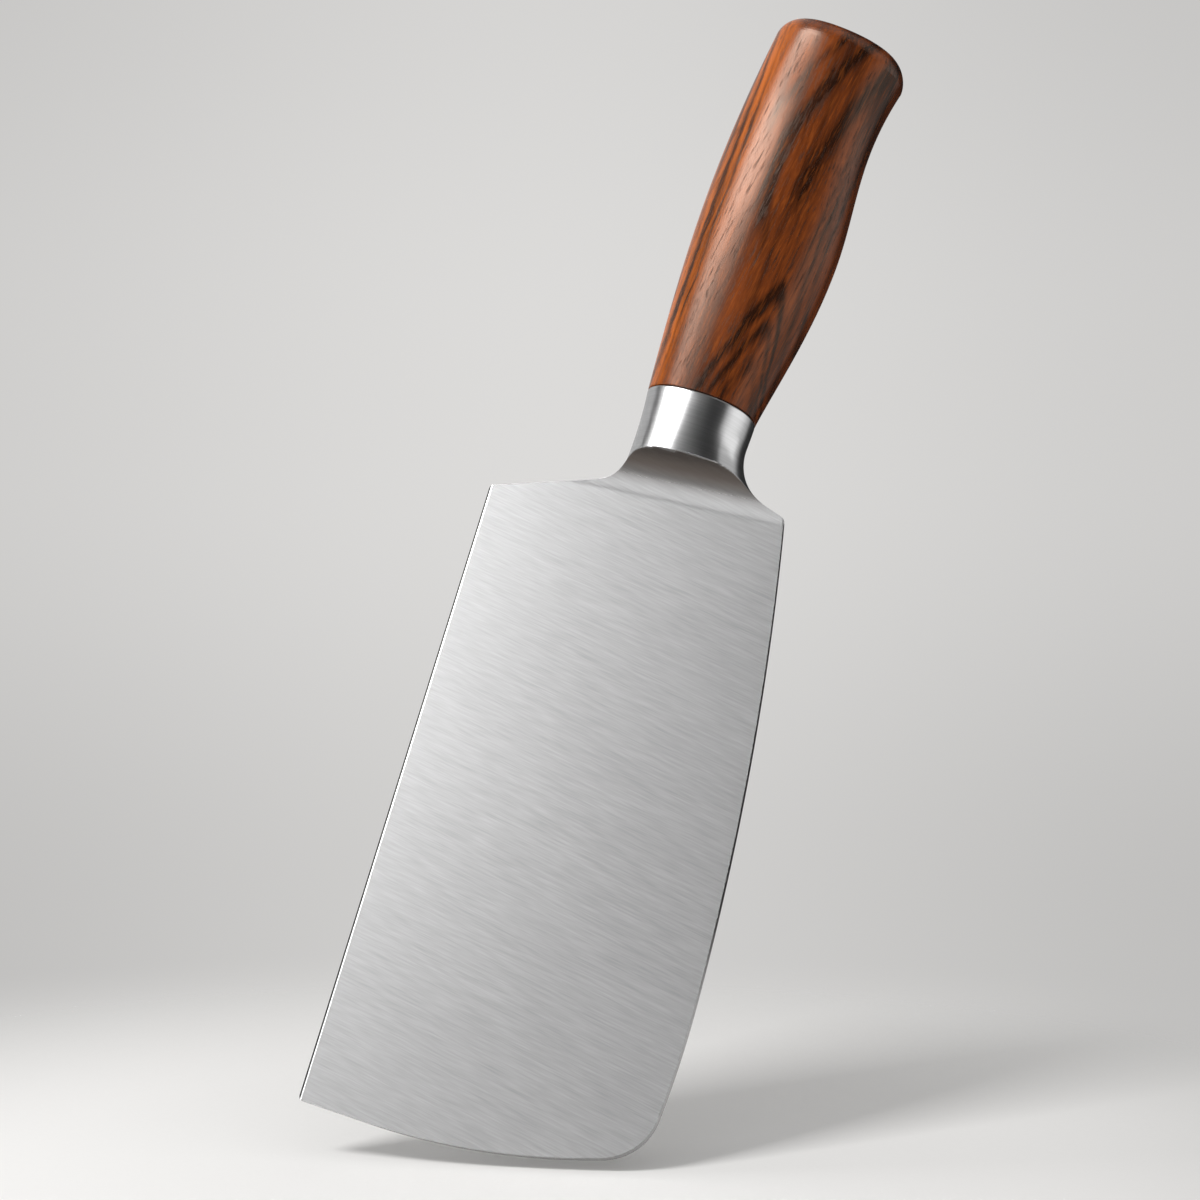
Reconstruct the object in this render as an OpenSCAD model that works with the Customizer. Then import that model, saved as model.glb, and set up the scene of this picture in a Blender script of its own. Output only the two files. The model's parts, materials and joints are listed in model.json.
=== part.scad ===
// Chinese cleaver: a wide tapered steel blade, a scooped steel bolster and a rosewood handle.
// The handle's axis is upright, the blade hangs below it and the nose of the blade is at z = 0.
// The cutting edge faces -X, the spine faces +X, and the flats of the blade face -Y and +Y.
// The origin is under the middle of the whole knife's width. All sizes are in millimetres.

/* [Blade outline] */
// Length of the straight cutting edge, from its nose corner to its heel corner
edge_l = 154; // [140:1:170]
// Angle in degrees between the cutting edge and the handle's axis
edge_cant = 4.25; // [3:0.25:6]
// Distance from the handle's axis to the nose corner of the cutting edge
edge_reach = 30; // [26:1:36]
// Distance from the handle's axis to the heel corner of the spine
spine_heel_reach = 28.3; // [26.5:0.1:32]
// Distance from the handle's axis to the spine, carried down to the level of the nose
spine_nose_reach = 51.4; // [44:0.1:56]
// Radius of the long arc of the spine
spine_r = 740; // [600:10:900]
// Height above the nose at which the spine starts to curve in more
lead_h = 50; // [30:1:60]
// Radius of the spine below that height
lead_r = 260; // [160:10:400]
// How much higher the heel corner of the spine is than that of the cutting edge
heel_rise = 12.6; // [9:0.1:14]
// Length of the straight part of the nose, next to the cutting edge
nose_flat = 17; // [12:1:24]
// Radius of the curved part of the nose
nose_r = 160; // [130:5:180]
// Radius of the large corner between the nose and the spine
nose_corner_r = 13.5; // [10:0.5:18]
// Radius of the two small corners at the ends of the cutting edge
edge_corner_r = 1.2; // [0.6:0.2:2.4]
// Radius of the small corner at the heel end of the spine
spine_corner_r = 1.25; // [1:0.25:3]

/* [Shoulders] */
// Slope in degrees of the shoulder on the cutting edge's side
edge_shoulder = 20.5; // [17:0.5:23]
// Slope in degrees of the shoulder on the spine's side
spine_shoulder = 16; // [15:0.5:21]
// Radius of the hollow between the bolster and the cutting edge's shoulder
edge_fillet_r = 7; // [6:0.5:11]
// Radius of the hollow between the bolster and the spine's shoulder
spine_fillet_r = 14.5; // [12:0.5:18]

/* [Blade section] */
// Thickness of the blade at the widest part of the spine
spine_t = 3; // [2.4:0.1:4]
// Thickness of the blade just behind the sharpened bevel
edge_t = 0.6; // [0.4:0.05:0.9]
// Thickness left at the very edge
apex_t = 0.1; // [0.06:0.02:0.16]
// Width of the sharpened bevel
bevel_w = 0.7; // [0.5:0.1:1.4]

/* [Bolster] */
// Height of the bolster on the handle's axis, from the foot of its scoop to the wood
bolster_l = 25.6; // [23:0.1:30]
// Half of the bolster's width where it meets the wood
seam_half_w = 13.5; // [12.9:0.1:14.2]
// Distance from the handle's axis to the bolster's narrowest part on the cutting edge's side
edge_waist = 12.1; // [11.5:0.1:12.8]
// Distance from the handle's axis to the bolster's narrowest part on the spine's side
spine_waist = 13.6; // [12.6:0.1:14]
// Thickness of the bolster from face to face
bolster_depth = 21.6; // [19:0.2:23]
// Radius of the scoop ground into each face of the bolster
scoop_r = 10; // [8:0.25:11]
// How far the foot of the scoop lies above the heel corner of the cutting edge
scoop_rise = 4.8; // [3.6:0.2:6]
// Depth of the ledge in each flat of the blade that the foot of the bolster fills
ledge_depth = 0.2; // [0.1:0.05:0.3]
// Rounding of the bolster's rim against the wood
rim_r = 0.5; // [0.3:0.1:0.8]

/* [Tenon and tang] */
// Height of the full width of the blade above the foot of the scoop
weld_rise = 3; // [2:0.25:4]
// Width of the blade's tenon inside the bolster
tenon_w = 15; // [10:0.5:17]
// Height of the tenon above the full width of the blade
tenon_h = 9; // [6:0.5:11]
// Diameter of the steel tang
tang_d = 7; // [5:0.5:8]
// Length of the tang above the bolster
tang_reach = 58; // [45:1:66]
// Bevel at the end of the tang
tang_bevel = 0.8; // [0.4:0.1:1.2]
// Number of glue grooves round the tang
groove_count = 3; // [2:1:4]
// Distance from one glue groove to the next
groove_pitch = 13; // [9:1:14]
// Height of the first glue groove above the bolster
groove_start = 16; // [12:1:20]
// Width of a glue groove
groove_w = 2; // [1.5:0.5:3]
// Depth of a glue groove
groove_depth = 0.6; // [0.4:0.1:0.8]

/* [Adhesive] */
// Thickness of the adhesive round the tang
glue_t = 1.1; // [0.8:0.1:1.6]
// Thickness of the adhesive between the bolster and the wood
film_t = 0.2; // [0.15:0.05:0.3]
// Depth of adhesive above the end of the tang
glue_end = 2; // [1:0.5:3]
// Clearance round the tang in the bolster
tang_gap = 0.05; // [0.02:0.01:0.1]

/* [Handle] */
// Length of the wood on the handle's axis
handle_l = 101.5; // [92:0.1:112]
// Largest distance from the axis to the wood on the spine's side, at the palm swell
palm_reach = 18.3; // [17.2:0.1:19.6]
// Height of the palm swell above the bolster
palm_h = 43.5; // [38:0.5:48]
// How slowly the palm swell starts above the bolster, where 1 is a plain arch
swell_power = 1.15; // [1:0.05:1.4]
// Distance from the axis to the wood on the spine's side, at the waist behind the palm
waist_reach = 16.2; // [14.8:0.1:16.8]
// Height of the waist above the bolster
waist_h = 76; // [70:1:80]
// Distance from the axis to the wood on the spine's side, at the flared butt
flare_reach = 18.1; // [17:0.1:19.4]
// Largest distance from the axis to the wood on the cutting edge's side
belly_reach = 17.4; // [16.4:0.05:18.4]
// Height of that largest distance above the bolster
belly_h = 60; // [50:1:68]
// Distance from the axis to the wood on the cutting edge's side, at the butt
butt_reach = 15.6; // [14.8:0.1:16.4]
// Thickness of the handle at the palm swell
palm_depth = 26; // [24:0.2:28]
// Thickness of the handle at the waist
waist_depth = 24; // [22:0.2:26]
// Thickness of the handle at the butt
butt_depth = 25.6; // [23:0.2:28]
// Slope in degrees of the butt, lower on the spine's side
butt_slope = 5.8; // [3:0.1:7]
// Rounding of the edge of the butt
butt_r = 6.5; // [4:0.25:7]
// Height of the gentle crown on the butt
butt_crown = 1.2; // [0.4:0.1:1.8]
// How square the oval of the handle and bolster is, where 2 is an ellipse
oval_power = 2.15; // [2:0.05:2.5]

/* [Hidden] */
$fn = 96;

// Steps of the drawn curves and lofts
arc_steps = 24;
corner_steps = 6;
handle_steps = 40;
ring_points = 56;
rim_round_steps = 3;
butt_round_steps = 8;
// How late the rings of the handle take up the slope of the butt
slope_power = 4;
// Size of the level top of the butt's crown, as a share of the butt inside its rounded edge
crown_share = 1 / 3;
// Overlap of a cutting shape past what it cuts
past = 1;
far = 200;

// Corners of the blade, as distances from the handle's axis and from the nose
edge_dir = [-sin(edge_cant), cos(edge_cant)];
edge_nose = [-edge_reach, 0];
edge_heel = edge_nose + edge_l * edge_dir;
spine_heel = [spine_heel_reach, edge_heel.y + heel_rise];
spine_nose = [spine_nose_reach, 0];

// Centres of the two arcs of the spine, the nose and the corner between them
spine_c = arc_centre(spine_heel, spine_nose, spine_r);
nose_c = [nose_flat - edge_reach, nose_r];
lead_top = spine_c + [sqrt(pow(spine_r, 2) - pow(lead_h - spine_c.y, 2)), lead_h - spine_c.y];
lead_c = lead_top + (spine_c - lead_top) * lead_r / spine_r;
corner_c = lower_meeting(lead_c, lead_r - nose_corner_r, nose_c, nose_r - nose_corner_r);

// The knife's width is centred on the origin
knife_x = -(edge_heel.x + lead_c.x + lead_r) / 2;

// Half of the blade's thickness at the cutting edge, if the flats ran right down to it
blade_w = (spine_nose - edge_nose).x * cos(edge_cant);
flat_angle = atan((spine_t - edge_t) / 2 / (blade_w - bevel_w));
root_half_t = edge_t / 2 - bevel_w * tan(flat_angle);

// Heights on the handle's axis and along the cutting edge
scoop_along = edge_l + scoop_rise;
scoop_z = (scoop_along + edge_reach * sin(edge_cant)) / cos(edge_cant);
weld_along = scoop_along + weld_rise;
weld_z = scoop_z + weld_rise;
tang_z = weld_z + tenon_h;
seam_z = scoop_z + bolster_l;
wood_z = seam_z + film_t;
bore_r = tang_d / 2 + glue_t;
bore_top = seam_z + tang_reach + glue_end;

// The two hollows beside the bolster: waist, shoulder slope, radius and heel corner of each
edge_side = [edge_waist, edge_shoulder, edge_fillet_r, [-edge_heel.x, edge_heel.y]];
spine_side = [spine_waist, spine_shoulder, spine_fillet_r, spine_heel];

// Centre of an arc of radius r through a and b, lying to the left of the way from b to a
function arc_centre(a, b, r) =
    let (way = a - b, half = norm(way) / 2, out = [-way.y, way.x] / (2 * half))
    (a + b) / 2 + out * sqrt(r * r - half * half);

// The lower of the two points at distance ra from a and rb from b
function lower_meeting(a, ra, b, rb) =
    let (gap = norm(b - a), along = (ra * ra - rb * rb + gap * gap) / (2 * gap))
    let (way = (b - a) / gap, off = sqrt(ra * ra - along * along))
    a + way * along + [way.y, -way.x] * off;

// Points of an arc round c from the direction of p to the direction of q
function arc_between(c, r, p, q, steps) =
    let (from = atan2(p.y - c.y, p.x - c.x), to = atan2(q.y - c.y, q.x - c.x))
    let (turn = to - from > 180 ? to - from - 360 : to - from < -180 ? to - from + 360 : to - from)
    [for (i = [0 : steps]) c + r * [cos(from + turn * i / steps), sin(from + turn * i / steps)]];

// Points that round the corner b of the path a, b, c
function rounded(a, b, c, r) =
    let (in = (a - b) / norm(a - b), out = (c - b) / norm(c - b))
    let (half = acos(in * out) / 2, mid = (in + out) / norm(in + out))
    let (centre = b + mid * r / sin(half), reach = r / tan(half))
    arc_between(centre, r, b + in * reach, b + out * reach, corner_steps);

// Where the shoulder would meet the bolster's waist, and where the hollow begins above it
function hollow_root_z(side) = side[3].y + (side[3].x - side[0]) * tan(side[1]);
function hollow_z(side) = hollow_root_z(side) + side[2] * tan(45 - side[1] / 2);
function hollow_centre(side) = [side[0] + side[2], hollow_z(side)];
function hollow_foot(side) = hollow_centre(side) - side[2] * [sin(side[1]), cos(side[1])];

// Distance from the axis to the steel at height z, on one side, running a little past the heel corner
function steel_reach(side, z) =
    z >= hollow_z(side) ? collar_reach(side, z)
    : z >= hollow_foot(side).y ? hollow_centre(side).x - sqrt(pow(side[2], 2) - pow(hollow_z(side) - z, 2))
    : min(side[3].x + past, hollow_foot(side).x + (hollow_foot(side).y - z) / tan(side[1]));

// The collar widens gently from its waist to the wood
function collar_reach(side, z) =
    side[0] + (seam_half_w - side[0]) * pow((z - hollow_z(side)) / (seam_z - hollow_z(side)), 2);

// Points of one hollow and its side of the collar, from the shoulder up to the wood
function hollow_path(side) =
    let (foot = hollow_foot(side), top = seam_z)
    [for (i = [0 : arc_steps]) let (z = foot.y + (top - foot.y) * i / arc_steps) [steel_reach(side, z), z]];

function mirrored(path) = [for (p = path) [-p.x, p.y]];
function reversed(path) = [for (i = [len(path) - 1 : -1 : 0]) path[i]];

// The whole steel outline, from the cutting edge's nose corner round by the heel
function steel_outline() = concat(
    rounded([0, 0], edge_nose, edge_heel, edge_corner_r),
    rounded(edge_nose, edge_heel, [-hollow_foot(edge_side).x, hollow_foot(edge_side).y], edge_corner_r),
    mirrored(hollow_path(edge_side)),
    reversed(hollow_path(spine_side)),
    rounded(hollow_foot(spine_side), spine_heel, spine_path()[1], spine_corner_r),
    [for (i = [1 : arc_steps]) spine_path()[i]],
    [for (i = [1 : arc_steps]) lead_path()[i]],
    [for (i = [1 : arc_steps]) corner_path()[i]],
    [for (i = [1 : arc_steps]) nose_path()[i]]
);

function spine_path() = arc_between(spine_c, spine_r, spine_heel, lead_top, arc_steps);
function lead_path() = arc_between(lead_c, lead_r, lead_top, corner_c, arc_steps);
function corner_path() =
    let (up = corner_c + (corner_c - lead_c), down = corner_c + (corner_c - nose_c))
    arc_between(corner_c, nose_corner_r, up, down, arc_steps);
function nose_path() = arc_between(nose_c, nose_r, corner_c, nose_c - [0, 1], arc_steps);

// One oval ring of the loft, leaning by slope from the edge's side down to the spine's side
function ring(z, edge_half, spine_half, depth_half, slope = 0) =
    [for (i = [0 : ring_points - 1])
        let (a = 360 * i / ring_points, p = 2 / oval_power)
        let (c = sign(cos(a)) * pow(abs(cos(a)), p), s = sign(sin(a)) * pow(abs(sin(a)), p))
        let (x = c * (c < 0 ? edge_half : spine_half))
        [x, s * depth_half, z - x * tan(slope)]];

// The triangles between the rings of a loft and over its two ends
function loft_faces(rings, n) = concat(
    [for (j = [0 : rings - 2], i = [0 : n - 1]) [j * n + i, (j + 1) * n + i, (j + 1) * n + (i + 1) % n]],
    [for (j = [0 : rings - 2], i = [0 : n - 1]) [j * n + i, (j + 1) * n + (i + 1) % n, j * n + (i + 1) % n]],
    [for (i = [1 : n - 2]) [0, i, i + 1]],
    [for (i = [1 : n - 2]) [(rings - 1) * n, (rings - 1) * n + i + 1, (rings - 1) * n + i]]
);

module loft(rings) {
    polyhedron(points = [for (r = rings) each r], faces = loft_faces(len(rings), ring_points));
}

// Height and inset of each step of a rounded rim of radius r that ends at height top
function rim_steps(top, r, steps) =
    [for (i = [0 : steps]) let (a = 90 * i / steps) [top - r + r * sin(a), r * (1 - cos(a))]];

// Distance from the axis to the wood at height h above the bolster, on the spine's side
function spine_profile(h) =
    h < palm_h ? seam_half_w + (palm_reach - seam_half_w) * pow(sin(90 * h / palm_h), swell_power)
    : h < waist_h ? wave(palm_reach, waist_reach, (h - palm_h) / (waist_h - palm_h))
    : waist_reach + (flare_reach - waist_reach) * pow((h - waist_h) / (flare_h() - waist_h), 2);

// The same on the cutting edge's side
function edge_profile(h) =
    h < belly_h ? seam_half_w + (belly_reach - seam_half_w) * sin(90 * h / belly_h)
    : belly_reach - (belly_reach - butt_reach) * pow((h - belly_h) / (flare_h() - belly_h), 2);

// Half of the thickness of the wood at height h above the bolster
function depth_profile(h) =
    h < palm_h ? (bolster_depth + (palm_depth - bolster_depth) * sin(90 * h / palm_h)) / 2
    : h < waist_h ? wave(palm_depth, waist_depth, (h - palm_h) / (waist_h - palm_h)) / 2
    : wave(waist_depth, butt_depth, (h - waist_h) / (flare_h() - waist_h)) / 2;

function flare_h() = handle_l - butt_r;
function ring_slope(h) = butt_slope * pow(min(h / flare_h(), 1), slope_power);
function wave(a, b, t) = a + (b - a) * (1 - cos(180 * t)) / 2;

// Places what is drawn round the handle's axis in the knife's own frame
module in_knife() {
    translate([knife_x, 0, 0]) children();
}

// Turns to the cutting edge: X runs from the edge to the spine, and Z up the edge from its nose corner
module along_edge() {
    translate([-edge_reach, 0, 0]) rotate([0, -edge_cant, 0]) children();
}

// Turns to each flat of the blade in turn, with Y pointing out of it
module on_each_flat() {
    for (side = [0, 1]) {
        mirror([0, side, 0]) along_edge() translate([0, root_half_t, 0]) rotate([0, 0, flat_angle]) children();
    }
}

// The blade's cross-section: a flat taper from the spine to a small sharpened bevel
module blade_section() {
    wide = blade_w + far;
    half_wide = root_half_t + wide * tan(flat_angle);
    polygon([
        [0, -apex_t / 2],
        [bevel_w, -edge_t / 2],
        [wide, -half_wide],
        [wide, half_wide],
        [bevel_w, edge_t / 2],
        [0, apex_t / 2]
    ]);
}

// The steel outline as a slab that the taper is cut from
module outline_slab() {
    rotate([90, 0, 0]) linear_extrude(far, center = true) polygon(steel_outline());
}

// The full width of the blade up to the weld, and the tenon above it
module weld_limits() {
    along_edge() translate([-past, -far / 2, -far / 2]) cube([far, far, far / 2 + weld_along]);
    translate([-tenon_w / 2, -far / 2, weld_z - weld_rise]) cube([tenon_w, far, tang_z - weld_z + weld_rise]);
}

module blade_solid() {
    difference() {
        intersection() {
            along_edge() translate([0, 0, -far / 2]) linear_extrude(2 * far) blade_section();
            outline_slab();
            weld_limits();
        }
        on_each_flat() translate([-far / 2, -ledge_depth, scoop_along]) cube(far);
    }
}

// What the scoop takes off one face of the bolster
module scoop_cut() {
    translate([-far / 2, scoop_r, scoop_along]) rotate([90, 0, 90]) linear_extrude(2 * far) {
        circle(scoop_r);
        translate([-scoop_r - past, -far / 2]) square([far, far / 2]);
        translate([0, -far / 2]) square([far, far / 2 + scoop_r]);
    }
}

// The collar before its faces are scooped: oval rings whose sides run out into the shoulders
module collar_stock() {
    low = scoop_z - scoop_rise;
    high = seam_z - rim_r;
    body = [for (i = [0 : arc_steps]) let (z = low + (high - low) * i / arc_steps)
        ring(z, steel_reach(edge_side, z), steel_reach(spine_side, z), bolster_depth / 2)];
    rim = [for (s = rim_steps(seam_z, rim_r, rim_round_steps))
        ring(s[0], steel_reach(edge_side, s[0]) - s[1], steel_reach(spine_side, s[0]) - s[1], bolster_depth / 2 - s[1])];
    loft(concat(body, [for (i = [1 : rim_round_steps]) rim[i]]));
}

// Beside the full width of the blade, the collar ends at the outline of the blade
module collar_limits() {
    outline_slab();
    along_edge() translate([-far / 2, -far / 2, weld_along + spine_corner_r]) cube(far);
}

module tang_solid() {
    top = seam_z + tang_reach;
    difference() {
        union() {
            translate([0, 0, tang_z]) cylinder(d = tang_d, h = top - tang_bevel - tang_z);
            translate([0, 0, top - tang_bevel]) cylinder(d1 = tang_d, d2 = tang_d - 2 * tang_bevel, h = tang_bevel);
        }
        for (i = [0 : groove_count - 1]) {
            translate([0, 0, seam_z + groove_start + i * groove_pitch]) glue_groove();
        }
    }
}

module glue_groove() {
    rotate_extrude() translate([tang_d / 2 - groove_depth, 0]) square([groove_depth + past, groove_w]);
}

module blade() {
    color("lightgray") in_knife() blade_solid();
}

module bolster() {
    color("silver") in_knife() difference() {
        intersection() {
            collar_stock();
            collar_limits();
        }
        on_each_flat() scoop_cut();
        blade_solid();
        translate([0, 0, tang_z]) cylinder(r = tang_d / 2 + tang_gap, h = seam_z - tang_z + past);
    }
}

module tang() {
    color("gray") in_knife() tang_solid();
}

module adhesive() {
    color("#2b1a10") in_knife() difference() {
        union() {
            translate([0, 0, seam_z]) linear_extrude(film_t) polygon([for (p = ring(0, seam_half_w - rim_r,
                seam_half_w - rim_r, bolster_depth / 2 - rim_r)) [p.x, p.y]]);
            translate([0, 0, seam_z]) cylinder(r = bore_r, h = bore_top - seam_z);
        }
        tang_solid();
    }
}

module handle() {
    lift = wood_z;
    body = [for (i = [0 : handle_steps]) let (h = flare_h() * i / handle_steps)
        ring(lift + h, edge_profile(h), spine_profile(h), depth_profile(h), ring_slope(h))];
    end = [for (s = rim_steps(handle_l, butt_r, butt_round_steps))
        ring(lift + s[0], butt_reach - s[1], flare_reach - s[1], butt_depth / 2 - s[1], butt_slope)];
    crown = ring(lift + handle_l + butt_crown, (butt_reach - butt_r) * crown_share,
        (flare_reach - butt_r) * crown_share, (butt_depth / 2 - butt_r) * crown_share, butt_slope);
    color("#8a4a22") in_knife() difference() {
        loft(concat(body, [for (i = [1 : butt_round_steps]) end[i]], [crown]));
        translate([0, 0, seam_z - past]) cylinder(r = bore_r, h = bore_top - seam_z + past);
    }
}

blade();
bolster();
tang();
adhesive();
handle();
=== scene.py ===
"""Looks of the chinese cleaver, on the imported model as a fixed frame.

The blade, the bolster and the handle are modelled here as finer meshes on the part's own sizes, and each
stands for its solid. The hidden tang and the adhesive keep their solids. Every surface gets a procedural
finish, and a small studio holds the floor, the lamps, the world and the camera. Sizes are in millimetres
from the handle's axis and from the lowest point of the nose, and become metres when a piece is finished.
"""

from __future__ import annotations

import json
import logging
import math
from dataclasses import dataclass
from enum import Enum
from functools import cached_property
from typing import Any, Callable, Mapping, Sequence

import bmesh
import bpy
from mathutils import Matrix, Vector

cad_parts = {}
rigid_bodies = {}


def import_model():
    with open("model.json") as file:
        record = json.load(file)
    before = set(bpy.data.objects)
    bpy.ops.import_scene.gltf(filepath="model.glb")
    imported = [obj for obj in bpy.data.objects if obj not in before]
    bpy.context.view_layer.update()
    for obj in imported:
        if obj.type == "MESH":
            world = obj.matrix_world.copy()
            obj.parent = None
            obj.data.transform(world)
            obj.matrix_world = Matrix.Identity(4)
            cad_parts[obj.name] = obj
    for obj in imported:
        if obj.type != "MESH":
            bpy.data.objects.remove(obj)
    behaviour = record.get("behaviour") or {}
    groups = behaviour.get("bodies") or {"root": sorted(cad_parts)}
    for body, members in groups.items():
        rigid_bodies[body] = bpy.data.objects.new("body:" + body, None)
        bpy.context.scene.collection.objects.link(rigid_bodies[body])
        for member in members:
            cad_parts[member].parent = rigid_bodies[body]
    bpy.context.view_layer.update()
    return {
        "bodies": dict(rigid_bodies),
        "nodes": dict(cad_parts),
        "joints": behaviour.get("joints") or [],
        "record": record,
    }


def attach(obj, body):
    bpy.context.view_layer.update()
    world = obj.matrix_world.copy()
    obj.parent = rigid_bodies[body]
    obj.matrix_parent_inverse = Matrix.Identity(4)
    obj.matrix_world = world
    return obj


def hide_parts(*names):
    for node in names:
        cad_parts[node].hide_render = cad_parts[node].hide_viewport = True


LOG = logging.getLogger("cleaver")

# A millimetre in metres, and the gap in millimetres at which points count as one.
MM = 0.001
MERGE_MM = 0.0001

# The name of the marks on the bolster's points, which its finish reads.
STEEL_MARKS = "steel"

Pair = tuple[float, float]
Triple = tuple[float, float, float]
Colour = tuple[float, float, float, float]


class Slot(Enum):
    """The record's material slots of the pieces that are modelled here."""

    BLADE = "blade_steel"
    BOLSTER = "bolster_steel"
    WOOD = "rosewood"


# Sizes


@dataclass(frozen=True)
class Hollow:
    """One side of the steel above the blade: the shoulder, the hollow over it and the collar's waist."""

    waist: float
    slope: float
    radius: float
    heel: Pair

    @cached_property
    def top(self) -> float:
        """Height at which the hollow ends and the collar begins."""
        root = self.heel[1] + (self.heel[0] - self.waist) * math.tan(self.slope)
        return root + self.radius * math.tan(math.radians(45) - self.slope / 2)

    @cached_property
    def foot(self) -> Pair:
        """Point at which the shoulder runs into the hollow."""
        centre = self.waist + self.radius
        return centre - self.radius * math.sin(self.slope), self.top - self.radius * math.cos(self.slope)


@dataclass(frozen=True)
class KnifePlan:
    """Sizes that the blade, the bolster and the handle share."""

    edge_l: float = 154.0
    edge_cant: float = math.radians(4.25)
    edge_reach: float = 30.0
    spine_heel: Pair = (28.3, 166.1768)
    spine_nose: Pair = (51.4, 0.0)
    spine_r: float = 740.0
    lead_h: float = 50.0
    lead_r: float = 260.0
    nose_flat: float = 17.0
    nose_r: float = 160.0
    nose_corner_r: float = 13.5
    edge_corner_r: float = 1.2
    spine_corner_r: float = 1.25
    spine_t: float = 3.0
    edge_t: float = 0.6
    apex_t: float = 0.1
    bevel_w: float = 0.7
    scoop_rise: float = 4.8
    weld_rise: float = 3.0
    ledge_depth: float = 0.2
    tenon_w: float = 15.0
    tenon_h: float = 9.0
    bolster_l: float = 25.6
    edge_waist: float = 12.1
    edge_slope: float = math.radians(20.5)
    edge_hollow_r: float = 7.0
    spine_waist: float = 13.6
    spine_slope: float = math.radians(16.0)
    spine_hollow_r: float = 14.5
    seam_half_w: float = 13.5
    film_t: float = 0.2

    @cached_property
    def edge_dir(self) -> Vector:
        """Direction of the cutting edge, from the nose to the heel."""
        return Vector((-math.sin(self.edge_cant), math.cos(self.edge_cant)))

    @cached_property
    def across_dir(self) -> Vector:
        """Direction square to the cutting edge, towards the spine."""
        return Vector((math.cos(self.edge_cant), math.sin(self.edge_cant)))

    @cached_property
    def edge_nose(self) -> Vector:
        """Nose corner of the cutting edge."""
        return Vector((-self.edge_reach, 0.0))

    @cached_property
    def edge_heel(self) -> Vector:
        """Heel corner of the cutting edge."""
        return self.edge_nose + self.edge_dir * self.edge_l

    @cached_property
    def spine_c(self) -> Vector:
        """Centre of the spine's long arc.

        Returns:
            Its place across and up the knife.
        """
        heel, nose = Vector(self.spine_heel), Vector(self.spine_nose)
        middle, half = (heel + nose) / 2, (nose - heel) / 2
        inward = Vector((half.y, -half.x)).normalized()
        return middle + inward * math.sqrt(self.spine_r**2 - half.length_squared)

    @cached_property
    def lead_top(self) -> Vector:
        """Point of the spine below which it curves in more."""
        rise = self.lead_h - self.spine_c.y
        return self.spine_c + Vector((math.sqrt(self.spine_r**2 - rise**2), rise))

    @cached_property
    def lead_c(self) -> Vector:
        """Centre of the spine's lower arc."""
        return self.lead_top + (self.spine_c - self.lead_top) * (self.lead_r / self.spine_r)

    @cached_property
    def nose_c(self) -> Vector:
        """Centre of the nose's arc."""
        return Vector((self.nose_flat - self.edge_reach, self.nose_r))

    @cached_property
    def corner_c(self) -> Vector:
        """Centre of the round nose corner, which touches the spine's lower arc and the nose's arc."""
        lead, nose = self.lead_r - self.nose_corner_r, self.nose_r - self.nose_corner_r
        return lower_meeting(self.lead_c, lead, self.nose_c, nose)

    @cached_property
    def knife_x(self) -> float:
        """Shift from the handle's axis to the middle of the whole knife."""
        return -(self.edge_heel.x + self.lead_c.x + self.lead_r) / 2

    @cached_property
    def blade_w(self) -> float:
        """Width over which the blade tapers."""
        return (self.spine_nose[0] + self.edge_reach) * math.cos(self.edge_cant)

    @cached_property
    def taper(self) -> float:
        """Rise of each flat for each millimetre from the edge."""
        return (self.spine_t - self.edge_t) / 2 / (self.blade_w - self.bevel_w)

    @cached_property
    def root_half_t(self) -> float:
        """Half thickness at the edge, if the flats ran on to it."""
        return self.edge_t / 2 - self.bevel_w * self.taper

    @cached_property
    def scoop_along(self) -> float:
        """Distance along the edge at which the scoop leaves the flat."""
        return self.edge_l + self.scoop_rise

    @cached_property
    def weld_along(self) -> float:
        """Distance along the edge at which the full width of the blade ends inside the bolster."""
        return self.scoop_along + self.weld_rise

    @cached_property
    def scoop_z(self) -> float:
        """Height of the scoop's foot on the handle's axis."""
        return self.height_at(self.scoop_along, 0.0)

    @cached_property
    def tang_z(self) -> float:
        """Height at which the tenon ends and the tang begins."""
        return self.scoop_z + self.weld_rise + self.tenon_h

    @cached_property
    def seam_z(self) -> float:
        """Height of the bolster's upper face."""
        return self.scoop_z + self.bolster_l

    @cached_property
    def wood_z(self) -> float:
        """Height of the wood's lower face."""
        return self.seam_z + self.film_t

    @cached_property
    def edge_side(self) -> Hollow:
        """The hollow on the cutting edge's side."""
        heel = (-self.edge_heel.x, self.edge_heel.y)
        return Hollow(self.edge_waist, self.edge_slope, self.edge_hollow_r, heel)

    @cached_property
    def spine_side(self) -> Hollow:
        """The hollow on the spine's side."""
        return Hollow(self.spine_waist, self.spine_slope, self.spine_hollow_r, self.spine_heel)

    def from_edge(self, x: float, z: float) -> float:
        """Distance of a point from the line of the cutting edge."""
        return (Vector((x, z)) - self.edge_nose).dot(self.across_dir)

    def along_edge(self, x: float, z: float) -> float:
        """Distance of a point along the line of the cutting edge, from its nose corner."""
        return (Vector((x, z)) - self.edge_nose).dot(self.edge_dir)

    def height_at(self, along: float, x: float) -> float:
        """Height at x of the line square to the edge that starts at a distance along it."""
        return (along + (x + self.edge_reach) * math.sin(self.edge_cant)) / math.cos(self.edge_cant)

    def flat_y(self, x: float, z: float) -> float:
        """Half thickness of the blade between its flats at a point."""
        return self.root_half_t + self.from_edge(x, z) * self.taper


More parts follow.
